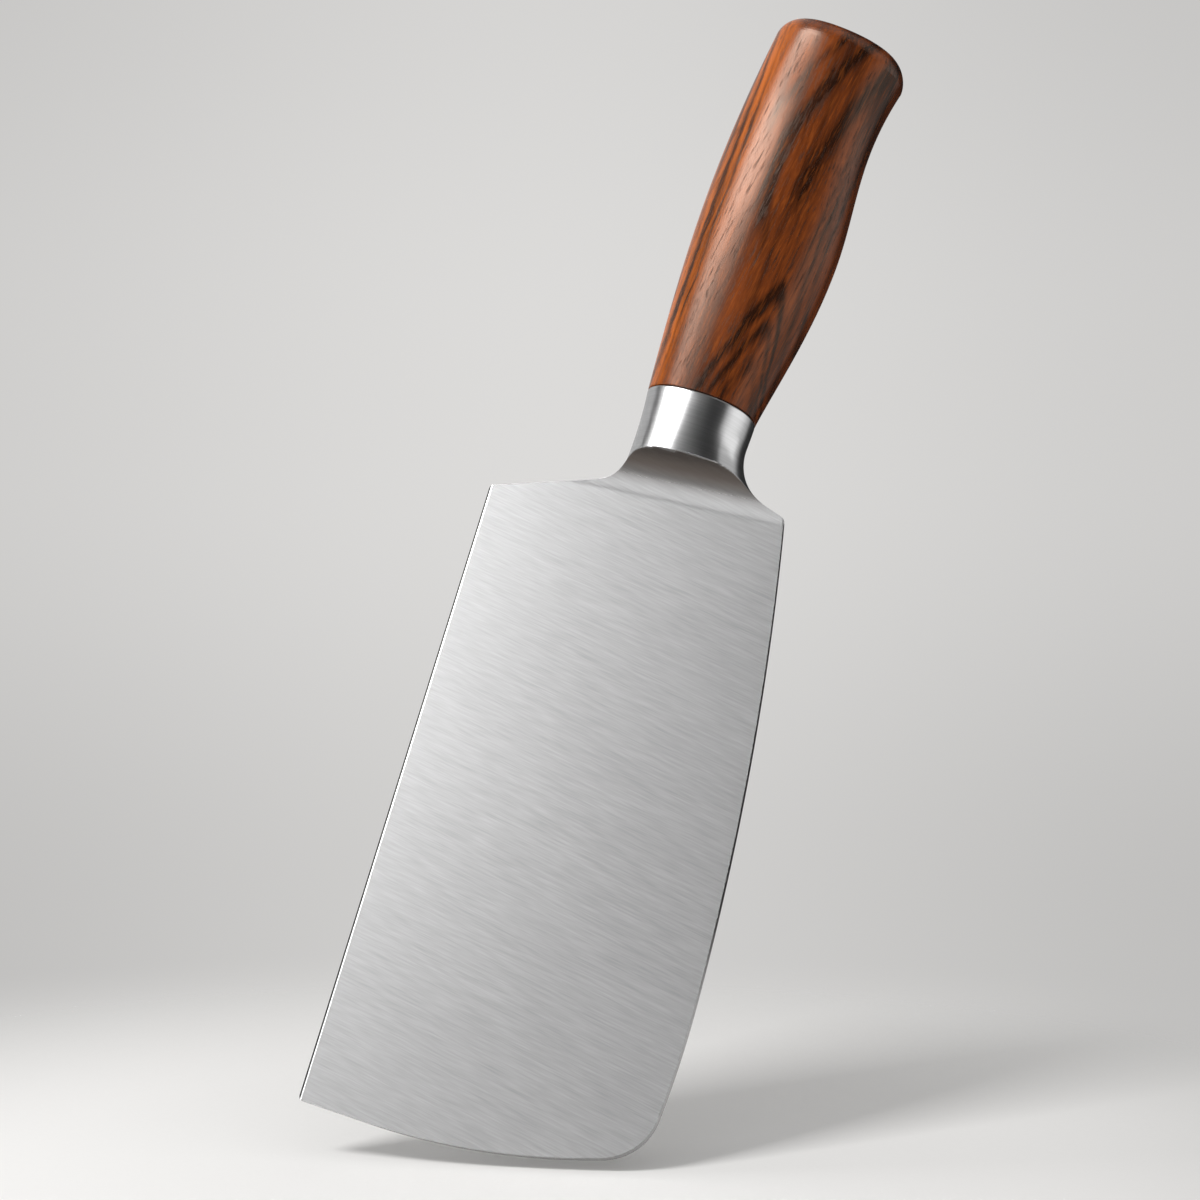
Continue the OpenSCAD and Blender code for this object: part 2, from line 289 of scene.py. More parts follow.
def lower_meeting(a: Vector, ra: float, b: Vector, rb: float) -> Vector:
    """Finds the lower of the two points where two circles meet.

    Args:
        a: Centre of the first circle.
        ra: Radius of the first circle.
        b: Centre of the second circle.
        rb: Radius of the second circle.

    Returns:
        The lower meeting point.
    """
    line = b - a
    reach = (ra**2 - rb**2 + line.length_squared) / (2 * line.length)
    side = math.sqrt(ra**2 - reach**2)
    foot = a + line * (reach / line.length)
    square = Vector((-line.y, line.x)) * (side / line.length)
    return min(foot + square, foot - square, key=lambda p: p.y)


def wave(start: float, end: float, t: float) -> float:
    """Half a cosine wave from start to end as t goes from 0 to 1."""
    return start + (end - start) * (1 - math.cos(math.pi * t)) / 2


def swell(start: float, end: float, t: float, power: float = 1.0) -> float:
    """A quarter of a sine wave from start to end as t goes from 0 to 1, level at the end."""
    return start + (end - start) * math.sin(math.pi / 2 * max(t, 0.0)) ** power


def flare(start: float, end: float, t: float) -> float:
    """A parabola from start to end as t goes from 0 to 1, level at the start."""
    return start + (end - start) * t * t


def soft_min(a: float, b: float, reach: float) -> float:
    """The smaller of two numbers, rounded over where they are within reach of each other."""
    near = max(reach - abs(a - b), 0.0) / reach
    return min(a, b) - near * near * reach / 4


# Shader maths


class Val:
    """A shader socket that takes part in Python expressions, each of which adds its Math node."""

    def __init__(self, bench: Bench, socket: bpy.types.NodeSocket) -> None:
        """Wraps one output socket of the bench's tree."""
        self.bench = bench
        self.socket = socket

    def math(self, operation: str, *others: Any) -> Val:
        """Adds a Math node with this value first."""
        feeds = dict(enumerate((self, *others)))
        return self.bench.value("ShaderNodeMath", {"operation": operation}, feeds)

    def _swapped(self, operation: str, first: Any) -> Val:
        """Adds a Math node with this value second."""
        return self.bench.value("ShaderNodeMath", {"operation": operation}, {0: first, 1: self})

    def __add__(self, other: Any) -> Val:
        """Sum."""
        return self.math("ADD", other)

    __radd__ = __add__

    def __sub__(self, other: Any) -> Val:
        """Difference."""
        return self.math("SUBTRACT", other)

    def __rsub__(self, other: Any) -> Val:
        """Difference with a number first."""
        return self._swapped("SUBTRACT", other)

    def __mul__(self, other: Any) -> Val:
        """Product."""
        return self.math("MULTIPLY", other)

    __rmul__ = __mul__

    def __truediv__(self, other: Any) -> Val:
        """Quotient."""
        return self.math("DIVIDE", other)

    def __rtruediv__(self, other: Any) -> Val:
        """Quotient with a number first."""
        return self._swapped("DIVIDE", other)

    def __pow__(self, other: Any) -> Val:
        """Power."""
        return self.math("POWER", other)

    def __rpow__(self, other: Any) -> Val:
        """Power of a number."""
        return self._swapped("POWER", other)

    def between(self, start: float, end: float) -> Val:
        """A smooth step from 0 at start to 1 at end."""
        return self.bench.step(self, start, end)

    def ridge(self, centre: Any, half: float) -> Val:
        """A smooth ridge of height 1 at centre, which ends half to each side."""
        return (self - centre).math("ABSOLUTE").between(half, 0.0)


class Bench:
    """Builds one node tree."""

    def __init__(self, tree: bpy.types.NodeTree) -> None:
        """Empties the tree and starts on it."""
        self.tree = tree
        tree.nodes.clear()

    def node(
        self, kind: str, settings: Mapping[str, Any] | None = None, feeds: Mapping[Any, Any] | None = None
    ) -> bpy.types.Node:
        """Adds a node.

        Args:
            kind: The node's type.
            settings: Its own settings, which are set first.
            feeds: Values or links of its input sockets, by name or number.

        Returns:
            The node.
        """
        made = self.tree.nodes.new(kind)
        for name, value in (settings or {}).items():
            setattr(made, name, value)
        for name, value in (feeds or {}).items():
            if isinstance(value, Val):
                self.tree.links.new(value.socket, made.inputs[name])
            elif isinstance(value, bpy.types.NodeSocket):
                self.tree.links.new(value, made.inputs[name])
            else:
                made.inputs[name].default_value = value
        return made

    def value(
        self, kind: str, settings: Mapping[str, Any], feeds: Mapping[Any, Any], output: int = 0
    ) -> Val:
        """Adds a node and wraps one of its outputs."""
        return Val(self, self.node(kind, settings, feeds).outputs[output])

    def step(self, value: Any, start: float, end: float, low: float = 0.0, high: float = 1.0) -> Val:
        """A smooth step of a value from low at start to high at end."""
        feeds = {"Value": value, "From Min": start, "From Max": end, "To Min": low, "To Max": high}
        return self.value("ShaderNodeMapRange", {"interpolation_type": "SMOOTHSTEP"}, feeds)

    def mix(self, factor: Any, first: Any, second: Any) -> Val:
        """Mixes two colours, which go to the node's sockets 6 and 7 and leave it by output 2."""
        settings = {"data_type": "RGBA", "blend_type": "MIX", "clamp_factor": True}
        return self.value("ShaderNodeMix", settings, {0: factor, 6: first, 7: second}, 2)

    def mixed(self, factor: Any, first: Any, second: Any) -> Val:
        """Mixes two numbers."""
        settings = {"data_type": "FLOAT", "clamp_factor": True}
        return self.value("ShaderNodeMix", settings, {0: factor, 2: first, 3: second})

    def vector(self, operation: str, *feeds: Any) -> Val:
        """Adds a Vector Math node."""
        output = 1 if operation in ("DOT_PRODUCT", "LENGTH", "DISTANCE") else 0
        return self.value("ShaderNodeVectorMath", {"operation": operation}, dict(enumerate(feeds)), output)

    def combined(self, x: Any, y: Any, z: Any) -> Val:
        """A vector from three values."""
        return self.value("ShaderNodeCombineXYZ", {}, {0: x, 1: y, 2: z})

    def split(self, vector: Any) -> tuple[Val, Val, Val]:
        """The three values of a vector."""
        made = self.node("ShaderNodeSeparateXYZ", {}, {0: vector})
        return tuple(Val(self, made.outputs[i]) for i in range(3))

    def millimetres(self) -> Val:
        """Place on the object in millimetres."""
        made = self.node("ShaderNodeTexCoord")
        return self.vector("MULTIPLY", made.outputs["Object"], (1 / MM, 1 / MM, 1 / MM))

    def noise(self, place: Val, detail: float = 2.0, roughness: float = 0.5) -> Val:
        """Smooth noise from 0 to 1 in three dimensions."""
        feeds = {"Vector": place, "Scale": 1.0, "Detail": detail, "Roughness": roughness}
        return self.value("ShaderNodeTexNoise", {"noise_dimensions": "3D"}, feeds)

    def bump(self, height: Val, distance: float, strength: float) -> Val:
        """A bump from a height, of a depth in metres, of which its strength shows."""
        feeds = {"Height": height, "Distance": distance, "Strength": strength}
        return self.value("ShaderNodeBump", {}, feeds)

    def shader(self, **feeds: Any) -> bpy.types.NodeSocket:
        """Adds one glossy shader, whose sockets are named with low lines for spaces."""
        named = {name.replace("_", " "): value for name, value in feeds.items()}
        return self.node("ShaderNodeBsdfPrincipled", {}, named).outputs[0]

    def surface(self, **feeds: Any) -> None:
        """Ends a material in one glossy shader."""
        self.node("ShaderNodeOutputMaterial", {}, {"Surface": self.shader(**feeds)})

    def steel(self, tone: Val, roughness: Any, haze: float, share: float, normal: Any) -> None:
        """Ends a material in bare metal that mirrors in a narrow gloss with a wide haze round it.

        Args:
            tone: Colour of the metal.
            roughness: Roughness of the narrow gloss.
            haze: Roughness of the wide haze.
            share: Share of the haze.
            normal: The bumped normal.
        """
        narrow = self.shader(Base_Color=tone, Metallic=1.0, Roughness=roughness, Normal=normal)
        wide = self.shader(Base_Color=tone, Metallic=1.0, Roughness=haze, Normal=normal)
        both = self.node("ShaderNodeMixShader", {}, {0: share, 1: narrow, 2: wide})
        self.node("ShaderNodeOutputMaterial", {}, {"Surface": both.outputs[0]})


# Finishes


def grey(level: float) -> Colour:
    """A grey colour."""
    return (level, level, level, 1.0)


def linear(level: float) -> float:
    """One channel of a screen colour, written from 0 to 255, on the shader's linear scale."""
    part = level / 255.0
    return part / 12.92 if part <= 0.04045 else ((part + 0.055) / 1.055) ** 2.4


def rgb(red: float, green: float, blue: float) -> Colour:
    """A colour written on the screen's scale of 0 to 255, on the shader's linear scale."""
    return (linear(red), linear(green), linear(blue), 1.0)


def new_material(name: str) -> tuple[bpy.types.Material, Bench]:
    """Starts a material.

    Args:
        name: The material's name.

    Returns:
        The material and the bench for its nodes.
    """
    made = bpy.data.materials.new(name)
    made.use_nodes = True
    return made, Bench(made.node_tree)


@dataclass(frozen=True)
class Grain:
    """A noise that is stretched over a piece.

    Its rates say how often it changes for each millimetre along three directions. Skew leans it along the
    first direction as the third goes by, and shift moves it along the first.
    """

    rates: Triple
    detail: float = 2.0
    roughness: float = 0.5
    skew: float = 0.0
    shift: float = 0.0

    def over(self, bench: Bench, first: Val, second: Val, third: Val) -> Val:
        """Lays the noise over a piece.

        Args:
            bench: The material's bench.
            first: Place along the first direction, in millimetres.
            second: Place along the second direction.
            third: Place along the third direction.

        Returns:
            The noise, from 0 to 1.
        """
        start = first * self.rates[0]
        if self.skew:
            start = start - third * self.skew
        if self.shift:
            start = start + self.shift
        place = bench.combined(start, second * self.rates[1], third * self.rates[2])
        return bench.noise(place, self.detail, self.roughness)


@dataclass(frozen=True)
class BrushedSteel:
    """Steel brushed in fine straight lines across the blade, with painted shade on the outer part of the
    sharpened edge.

    Each layer holds the share and the grain of one width of line.
    """

    plan: KnifePlan
    name: str = "brushed_blade_steel"
    tone: float = 0.66
    contrast: float = 0.105
    contrast_gain: float = 1.9
    # Painted shade along the outer part of the sharpened edge: its near-black tone, its width and its fade.
    edge_shade_tone: float = 0.012
    edge_shade_w: float = 0.42
    edge_shade_fade: float = 0.1
    roughness: float = 0.2
    line_roughness: float = 0.06
    haze: float = 0.3
    haze_share: float = 0.3
    depth: float = 0.0000003
    bump_share: float = 0.5
    brush_angle: float = math.radians(-8.4)
    layers: tuple[tuple[float, Grain], ...] = (
        (0.1, Grain((0.02, 0.3, 0.5), 1.0)),
        (0.4, Grain((0.1, 0.3, 2.0), 1.0, 0.6)),
        (0.5, Grain((0.17, 0.3, 4.0), 1.0, shift=40.0)),
    )

    def strokes(self, bench: Bench, mm: Val) -> Val:
        """Lines of several widths along the brushing, around 0.

        Args:
            bench: The material's bench.
            mm: Place in millimetres.

        Returns:
            The height of the lines, from about -0.5 to 0.5.
        """
        c, s = math.cos(self.brush_angle), math.sin(self.brush_angle)
        run = bench.vector("DOT_PRODUCT", mm, (c, 0.0, s))
        rise = bench.vector("DOT_PRODUCT", mm, (-s, 0.0, c))
        through = bench.vector("DOT_PRODUCT", mm, (0.0, 1.0, 0.0))
        return sum(grain.over(bench, run, through, rise) * share for share, grain in self.layers) - 0.5

    def tones(self, bench: Bench, lines: Val) -> Val:
        """The colour of the steel, paler and darker along its lines."""
        low, high = grey(self.tone - self.contrast), grey(self.tone + self.contrast)
        return bench.mix(lines * self.contrast_gain + 0.5, low, high)

    def material(self) -> bpy.types.Material:
        """Makes the material.

        Returns:
            The material.
        """
        made, bench = new_material(self.name)
        mm = bench.millimetres()
        lines = self.strokes(bench, mm)
        across, nose = self.plan.across_dir, self.plan.edge_nose + Vector((self.plan.knife_x, 0.0))
        out = bench.vector("DOT_PRODUCT", mm, (across.x, 0.0, across.y)) - across.dot(nose)
        # Painted shade: the outer part of the sharpened edge is painted near black, a dark line along the
        # edge.
        edge_shade = out.between(self.edge_shade_w + self.edge_shade_fade, self.edge_shade_w - self.edge_shade_fade)
        tone = bench.mix(edge_shade, self.tones(bench, lines), grey(self.edge_shade_tone))
        gloss = lines * self.line_roughness + self.roughness
        bump = bench.bump(lines, self.depth, self.bump_share)
        bench.steel(tone, gloss, self.haze, self.haze_share, bump)
        return made


@dataclass(frozen=True)
class CollarSteel:
    """Polished steel with fine lines round the collar, and the blade's brushing in the scoops.

    Painted shade darkens the scoops towards the arch, in the recess under the collar. The span holds the
    shares of their rise at which that starts and ends.
    """

    blade: BrushedSteel
    name: str = "polished_collar_steel"
    turned: Grain = Grain((0.05, 0.05, 3.4), 2.0, 0.6)
    turned_share: float = 0.7
    # Painted shade in the scoops under the arch: its tone, the span of rise over which it grows, and its
    # share.
    arch_shade_tone: Colour = rgb(84, 74, 67)
    arch_shade_span: Pair = (0.2, 0.8)
    arch_shade_share: float = 0.92
    arch_roughness: float = 0.15
    depth: float = 0.000001
    bump_share: float = 0.4

    def material(self) -> bpy.types.Material:
        """Makes the material, which reads the marks on the bolster's mesh.

        Returns:
            The material.
        """
        made, bench = new_material(self.name)
        mm = bench.millimetres()
        marks = bench.node("ShaderNodeAttribute", {"attribute_name": STEEL_MARKS}).outputs["Vector"]
        collar, hollow, _ = bench.split(marks)
        turned = self.turned.over(bench, *bench.split(mm)) - 0.5
        lines = turned * collar * self.turned_share + self.blade.strokes(bench, mm) * (1 - collar)
        # Painted shade: the steel in the scoops is painted darker towards the arch.
        shade = hollow.between(*self.arch_shade_span) * (1 - collar)
        tone = bench.mix(shade * self.arch_shade_share, self.blade.tones(bench, lines), self.arch_shade_tone)
        gloss = lines * self.blade.line_roughness + self.blade.roughness + shade * self.arch_roughness
        bump = bench.bump(lines, self.depth, self.bump_share)
        bench.steel(tone, gloss, self.blade.haze, self.blade.haze_share, bump)
        return made


@dataclass(frozen=True)
class Vein:
    """One dark stripe of the wood's figure, which runs up the handle.

    Its middle lies at start + lean*h + bow*h*h across the handle, at height h above the bolster, and it
    shows between two heights.
    """

    start: float
    lean: float
    bow: float
    half: float
    depth: float
    low: float = -20.0
    high: float = 130.0
    fade: float = 12.0

    def darkness(self, bench: Bench, place: Val, high: Val) -> Val:
        """How dark the vein makes the wood.

        Args:
            bench: The material's bench.
            place: Distance across the handle, with the grain's sway.
            high: Height above the bolster.

        Returns:
            The darkness, from 0 to the vein's depth.
        """
        middle = high * self.lean + high * high * self.bow + self.start
        below = bench.step(high, self.low - self.fade, self.low)
        above = bench.step(high, self.high + self.fade, self.high)
        return place.ridge(middle, self.half) * (below * above) * self.depth


@dataclass(frozen=True)
class Arches:
    """The nested pointed arches low on the handle, one inside another.

    The outermost comes to a point at the tip, and its sides fall away by their own powers over their
    widths. Each ring holds how far inside the outermost it lies and its half width, both as shares of the
    fall, and its depth. The wood inside the outermost is a little darker too.
    """

    tip: Pair = (8.8, 30.6)
    fall: float = 30.0
    left_w: float = 10.2
    left_power: float = 1.25
    right_w: float = 5.2
    right_power: float = 2.2
    rings: tuple[Triple, ...] = ((0.03, 0.18, 1.0), (0.35, 0.14, 0.65), (0.68, 0.14, 0.35))
    fill_span: Pair = (0.0, 0.3)
    fill_depth: float = 0.12

    def darkness(self, place: Val, high: Val) -> Val:
        """How dark the arches make the wood.

        Args:
            place: Distance across the handle, with the grain's sway.
            high: Height above the bolster.

        Returns:
            The darkness, from 0.
        """
        left = ((self.tip[0] - place) / self.left_w).math("MAXIMUM", 0.0) ** self.left_power
        right = ((place - self.tip[0]) / self.right_w).math("MAXIMUM", 0.0) ** self.right_power
        inward = (self.tip[1] - high) / self.fall - left - right
        rings = sum(inward.ridge(middle, half) * depth for middle, half, depth in self.rings)
        return rings + inward.between(*self.fill_span) * self.fill_depth


@dataclass(frozen=True)
class Rosewood:
    """Lacquered rosewood with stripes, dark veins, nested arches, pale amber fibres and fine pores, and
    painted light on the side towards the key lamp.

    Each span holds where what is named fades in and where it is full, as levels of its noise, or in
    millimetres across the handle for the painted light on the side towards the key lamp.
    """

    plan: KnifePlan
    name: str = "lacquered_rosewood"
    lacquer_gloss: float = 0.52
    lacquer_roughness: float = 0.23
    sheen: Colour = (1.0, 0.8, 0.65, 1.0)
    light: Colour = rgb(124, 59, 21)
    middle: Colour = rgb(82, 37, 14)
    # Amber of the pale fibres, and of the painted light on the side towards the key lamp.
    amber_fibre_and_lit_side: Colour = rgb(198, 104, 36)
    dark: Colour = rgb(28, 13, 7)
    sway: Grain = Grain((0.05, 0.05, 0.022))
    sway_reach: float = 2.0
    quiver: Grain = Grain((0.35, 0.3, 0.09), 4.0, 0.65)
    quiver_reach: float = 1.5
    lean: float = 0.12
    stripe: Grain = Grain((0.34, 0.10, 0.010), 3.0, 0.6)
    stripe_span: Pair = (0.46, 0.72)
    stripe_depth: float = 0.5
    thread: Grain = Grain((1.3, 0.6, 0.035), 3.0, 0.65, skew=0.05)
    thread_span: Pair = (0.25, 0.65)
    thread_fill: Pair = (0.65, 1.25)
    thread_dark_span: Pair = (0.5, 0.76)
    thread_depth: float = 0.22
    thread_bump: float = 0.3
    darkest: float = 0.92
    warmth: Grain = Grain((0.14, 0.12, 0.016))
    warm_span: Pair = (0.36, 0.62)
    # Painted light: how far across the handle the side towards the key lamp is painted paler amber, and how
    # much.
    lit_side_span: Pair = (-7.0, -12.5)
    lit_side_share: float = 0.85
    fibre: Grain = Grain((1.9, 1.9, 0.13), 2.0, 0.7, skew=0.2)
    pale_span: Pair = (0.5, 0.28)
    pale_share: float = 0.2
    pore_span: Pair = (0.52, 0.70)
    pore_share: float = 0.7
    pore_roughness: float = 0.25
    pore_depth: float = 0.00002
    bump_share: float = 0.4
    arches: Arches = Arches()
    veins: tuple[Vein, ...] = (
        Vein(27.7, -1.02, 0.0085, 2.8, 0.95, 50.0, 130.0, 16.0),
        Vein(21.4, -1.02, 0.0085, 1.9, 0.55, 74.0, 130.0, 8.0),
        Vein(18.7, -0.53, 0.0052, 3.2, 0.8, 58.0, 86.0, 14.0),
        Vein(17.9, -0.075, 0.0006, 1.1, 0.75),
        Vein(15.2, -0.06, 0.0006, 1.3, 0.6),
        Vein(12.0, -0.02, 0.0004, 1.1, 0.45, 40.0),
        Vein(-11.6, -0.012, 0.0, 0.6, 0.35),
        Vein(-13.6, -0.01, 0.0, 0.9, 0.6),
        Vein(-16.0, 0.0, 0.0, 0.8, 0.55),
        Vein(-4.6, 0.01, 0.0, 0.9, 0.3, -20.0, 60.0),
    )

    def material(self) -> bpy.types.Material:
        """Makes the material.

        Returns:
            The material.
        """
        made, bench = new_material(self.name)
        x, y, z = bench.split(bench.millimetres())
        across, high = x - self.plan.knife_x, z - self.plan.wood_z
        sway = (self.sway.over(bench, across, y, high) - 0.5) * self.sway_reach
        quiver = (self.quiver.over(bench, across, y, high) - 0.5) * self.quiver_reach
        place = across + sway + quiver + y * self.lean
        thread = self.thread.over(bench, place, y, high)
        fibre = self.fibre.over(bench, across, y, high)
        pale, pores = fibre.between(*self.pale_span), fibre.between(*self.pore_span)
        warm = self.warmth.over(bench, across, y, high).between(*self.warm_span)
        base = bench.mix(warm, self.middle, self.light)
        # Painted light: the side towards the key lamp is painted a paler amber.
        base = bench.mix(across.between(*self.lit_side_span) * self.lit_side_share, base, self.amber_fibre_and_lit_side)
        base = bench.mix(self._figure(bench, place, y, high, thread), base, self.dark)
        base = bench.mix(pale * self.pale_share, base, self.amber_fibre_and_lit_side)
        base = bench.mix(pores * self.pore_share, base, self.dark)
        bench.surface(
            Base_Color=base,
            Roughness=pores * self.pore_roughness + self.lacquer_roughness,
            Specular_IOR_Level=self.lacquer_gloss,
            Specular_Tint=self.sheen,
            Normal=bench.bump(pores + thread * self.thread_bump, -self.pore_depth, self.bump_share),
        )
        return made

    def _figure(self, bench: Bench, place: Val, y: Val, high: Val, thread: Val) -> Val:
        """How dark the stripes, veins and arches make the wood, all broken up by fine threads.

        Args:
            bench: The material's bench.
            place: Distance across the handle, with the grain's sway.
            y: Distance through the handle.
            high: Height above the bolster.
            thread: Noise of the threads.

        Returns:
            The darkness, from 0 to the darkest.
        """
        figure = self.stripe.over(bench, place, y, high).between(*self.stripe_span) * self.stripe_depth
        for vein in self.veins:
            figure = figure + vein.darkness(bench, place, high)
        figure = figure + self.arches.darkness(place, high)
        shown = bench.step(thread, *self.thread_span, *self.thread_fill)
        dark = figure * shown + thread.between(*self.thread_dark_span) * self.thread_depth
        return dark.math("MINIMUM", self.darkest)


@dataclass(frozen=True)
class CuredEpoxy:
    """Dark cured adhesive, with dust and small dimples in it."""

    name: str = "cured_dark_epoxy"
    dust: Grain = Grain((1.4, 1.4, 1.4), 3.0, 0.6)
    dust_span: Pair = (0.45, 0.75)
    clean_tone: Colour = rgb(38, 28, 22)
    dusty_tone: Colour = rgb(66, 50, 40)
    roughness: float = 0.35
    dust_roughness: float = 0.3
    depth: float = 0.00003
    bump_share: float = 0.5

    def material(self) -> bpy.types.Material:
        """Makes the material.

        Returns:
            The material.
        """
        made, bench = new_material(self.name)
        dust = self.dust.over(bench, *bench.split(bench.millimetres()))
        bench.surface(
            Base_Color=bench.mix(dust.between(*self.dust_span), self.clean_tone, self.dusty_tone),
            Roughness=dust * self.dust_roughness + self.roughness,
            Normal=bench.bump(dust, self.depth, self.bump_share),
        )
        return made


@dataclass(frozen=True)
class TurnedSteel:
    """Steel as it comes off the lathe, with fine rings from the tool."""

    name: str = "turned_tang_steel"
    ring_rate: float = 20.9
    stain: Grain = Grain((0.3, 0.3, 0.12), 3.0)
    stained_tone: float = 0.34
    clean_tone: float = 0.5
    roughness: float = 0.3
    stain_roughness: float = 0.2
    depth: float = 0.00002
    bump_share: float = 0.5

    def material(self) -> bpy.types.Material:
        """Makes the material.

        Returns:
            The material.
        """
        made, bench = new_material(self.name)
        x, y, z = bench.split(bench.millimetres())
        rings = (z * self.ring_rate).math("SINE") * 0.5 + 0.5
        stain = self.stain.over(bench, x, y, z)
        bench.surface(
            Base_Color=bench.mix(stain, grey(self.stained_tone), grey(self.clean_tone)),
            Metallic=1.0,
            Roughness=stain * self.stain_roughness + self.roughness,
            Normal=bench.bump(rings, self.depth, self.bump_share),
        )
        return made


# Modelling tools


class Pen:
    """Draws one closed outline in a mesh's X-Z plane, by growing it from a single point."""

    def __init__(self, bm: bmesh.types.BMesh, start: Vector) -> None:
        """Sets the pen down at the start point."""
        self.bm = bm
        self.tip = bmesh.ops.create_vert(bm, co=(start.x, 0.0, start.y))["vert"][0]

    @property
    def at(self) -> Vector:
        """Where the pen is."""
        return Vector((self.tip.co.x, self.tip.co.z))

    def line_to(self, point: Vector) -> None:
        """Draws a straight line to a point.

        Args:
            point: Where the line ends.
        """
        step = point - self.at
        self.tip = bmesh.ops.extrude_vert_indiv(self.bm, verts=[self.tip])["verts"][0]
        bmesh.ops.translate(self.bm, verts=[self.tip], vec=(step.x, 0.0, step.y))

    def arc(self, centre: Vector, angle: float, steps: int) -> None:
        """Draws an arc round a centre, with the angle positive from X towards Z.

        Args:
            centre: The arc's centre.
            angle: How far it turns, in radians.
            steps: Steps of the arc.
        """
        made = bmesh.ops.spin(
            self.bm,
            geom=[self.tip],
            cent=(centre.x, 0.0, centre.y),
            axis=(0.0, -1.0, 0.0),
            dvec=(0.0, 0.0, 0.0),
            angle=angle,
            steps=steps,
            use_merge=False,
            use_normal_flip=False,
            use_duplicate=False,
        )
        self.tip = next(part for part in made["geom_last"] if isinstance(part, bmesh.types.BMVert))

    def arc_to(self, centre: Vector, point: Vector, steps: int) -> None:
        """Draws the shorter arc round a centre until it is in line with a point.

        Args:
            centre: The arc's centre.
            point: A point on the line at which the arc ends.
            steps: Steps of the arc.
        """
        start, end = self.at - centre, point - centre
        turn = math.atan2(start.x * end.y - start.y * end.x, start.dot(end))
        self.arc(centre, turn, steps)

    def round_corner(self, corner: Vector, after: Vector, radius: float, steps: int) -> None:
        """Draws up to a corner and round it.

        Args:
            corner: The sharp corner.
            after: A point in the direction that the outline takes after the corner.
            radius: Radius of the rounding.
            steps: Steps of the rounding.
        """
        come, leave = (corner - self.at).normalized(), (after - corner).normalized()
        turn = math.atan2(come.x * leave.y - come.y * leave.x, come.dot(leave))
        back = radius * math.tan(abs(turn) / 2)
        self.line_to(corner - come * back)
        side = Vector((-come.y, come.x)) * math.copysign(radius, turn)
        self.arc(self.at + side, turn, steps)

    def close(self) -> None:
        """Joins the end to the start and fills the outline."""
        bmesh.ops.remove_doubles(self.bm, verts=self.bm.verts[:], dist=MERGE_MM)
        loose = [v for v in self.bm.verts if len(v.link_edges) == 1]
        if loose:
            bmesh.ops.contextual_create(self.bm, geom=loose)
        bmesh.ops.contextual_create(self.bm, geom=self.bm.edges[:])


class Sleeve:
    """Grows a closed tube ring by ring: a circle is extruded, and each new ring is pressed to its place."""

    def __init__(self, bm: bmesh.types.BMesh, points: int, place: Callable[[float], Vector]) -> None:
        """Starts with a capped ring.

        Args:
            bm: The mesh.
            points: Points of each ring.
            place: Gives the place of the point at an angle.
        """
        self.bm = bm
        made = bmesh.ops.create_circle(bm, segments=points, radius=1.0, cap_ends=False)["verts"]
        self.ring = sorted(made, key=lambda v: math.atan2(v.co.y, v.co.x) % (2 * math.pi))
        self.angles = [2 * math.pi * i / points for i in range(points)]
        self._press(place)
        self.cap()

    def _press(self, place: Callable[[float], Vector]) -> None:
        """Moves the newest ring to its place."""
        for vert, angle in zip(self.ring, self.angles):
            vert.co = place(angle)

    def edges(self) -> list[bmesh.types.BMEdge]:
        """The edges of the newest ring."""
        pairs = zip(self.ring, self.ring[1:] + self.ring[:1])
        return [self.bm.edges.get(pair) for pair in pairs]

    def grow(self, place: Callable[[float], Vector]) -> None:
        """Extrudes the newest ring and moves the new one to its place.

        Args:
            place: Gives the place of the point at an angle.
        """
        made = bmesh.ops.extrude_edge_only(self.bm, edges=self.edges())["geom"]
        fresh = {part for part in made if isinstance(part, bmesh.types.BMVert)}
        self.ring = [
            next(e.other_vert(v) for e in v.link_edges if e.other_vert(v) in fresh) for v in self.ring
        ]
        self._press(place)

    def round_over(self, radius: float, steps: int, place: Callable[[float, float, float], Vector]) -> None:
        """Grows a quarter round.

        Args:
            radius: Radius of the rounding.
            steps: Rings of the rounding.
            place: Gives the place of the point at an angle, drawn in by an inset and up by a rise.
        """
        for step in range(1, steps + 1):
            turn = math.pi / 2 * step / steps
            inset, rise = radius * (1 - math.cos(turn)), radius * math.sin(turn)
            self.grow(lambda angle: place(angle, inset, rise))

    def crease(self) -> None:
        """Keeps the newest ring's edges sharp."""
        for edge in self.edges():
            edge.smooth = False

    def cap(self) -> None:
        """Closes the newest ring with one face."""
        bmesh.ops.contextual_create(self.bm, geom=self.edges())

    def point(self, centre: Vector) -> None:
        """Closes the newest ring in one point."""
        bmesh.ops.pointmerge(self.bm, verts=self.ring, merge_co=centre)


def flat_circle(angle: float, radius: float, z: float) -> Vector:
    """A point of a level circle round the handle's axis."""
    return Vector((radius * math.cos(angle), radius * math.sin(angle), z))


def oval(angle: float, edge_half: float, spine_half: float, depth_half: float, power: float) -> Pair:
    """A point of the knife's oval.

    Args:
        angle: Angle round the oval.
        edge_half: Half width on the cutting edge's side.
        spine_half: Half width on the spine's side.
        depth_half: Half thickness.
        power: How square the oval is, 2 for an ellipse.

    Returns:
        Its place across and through the knife.
    """
    c = math.copysign(abs(math.cos(angle)) ** (2 / power), math.cos(angle))
    s = math.copysign(abs(math.sin(angle)) ** (2 / power), math.sin(angle))
    return c * (edge_half if c < 0 else spine_half), s * depth_half


def finished(name: str, bm: bmesh.types.BMesh, material: bpy.types.Material) -> bpy.types.Object:
    """Turns a mesh in the making into an object of the scene.

    Args:
        name: The object's name.
        bm: The mesh in metres. It is freed.
        material: The material all over it.

    Returns:
        The object, at the origin.
    """
    mesh = bpy.data.meshes.new(name)
    bm.to_mesh(mesh)
    bm.free()
    mesh.materials.append(material)
    made = bpy.data.objects.new(name, mesh)
    bpy.context.scene.collection.objects.link(made)
    return made


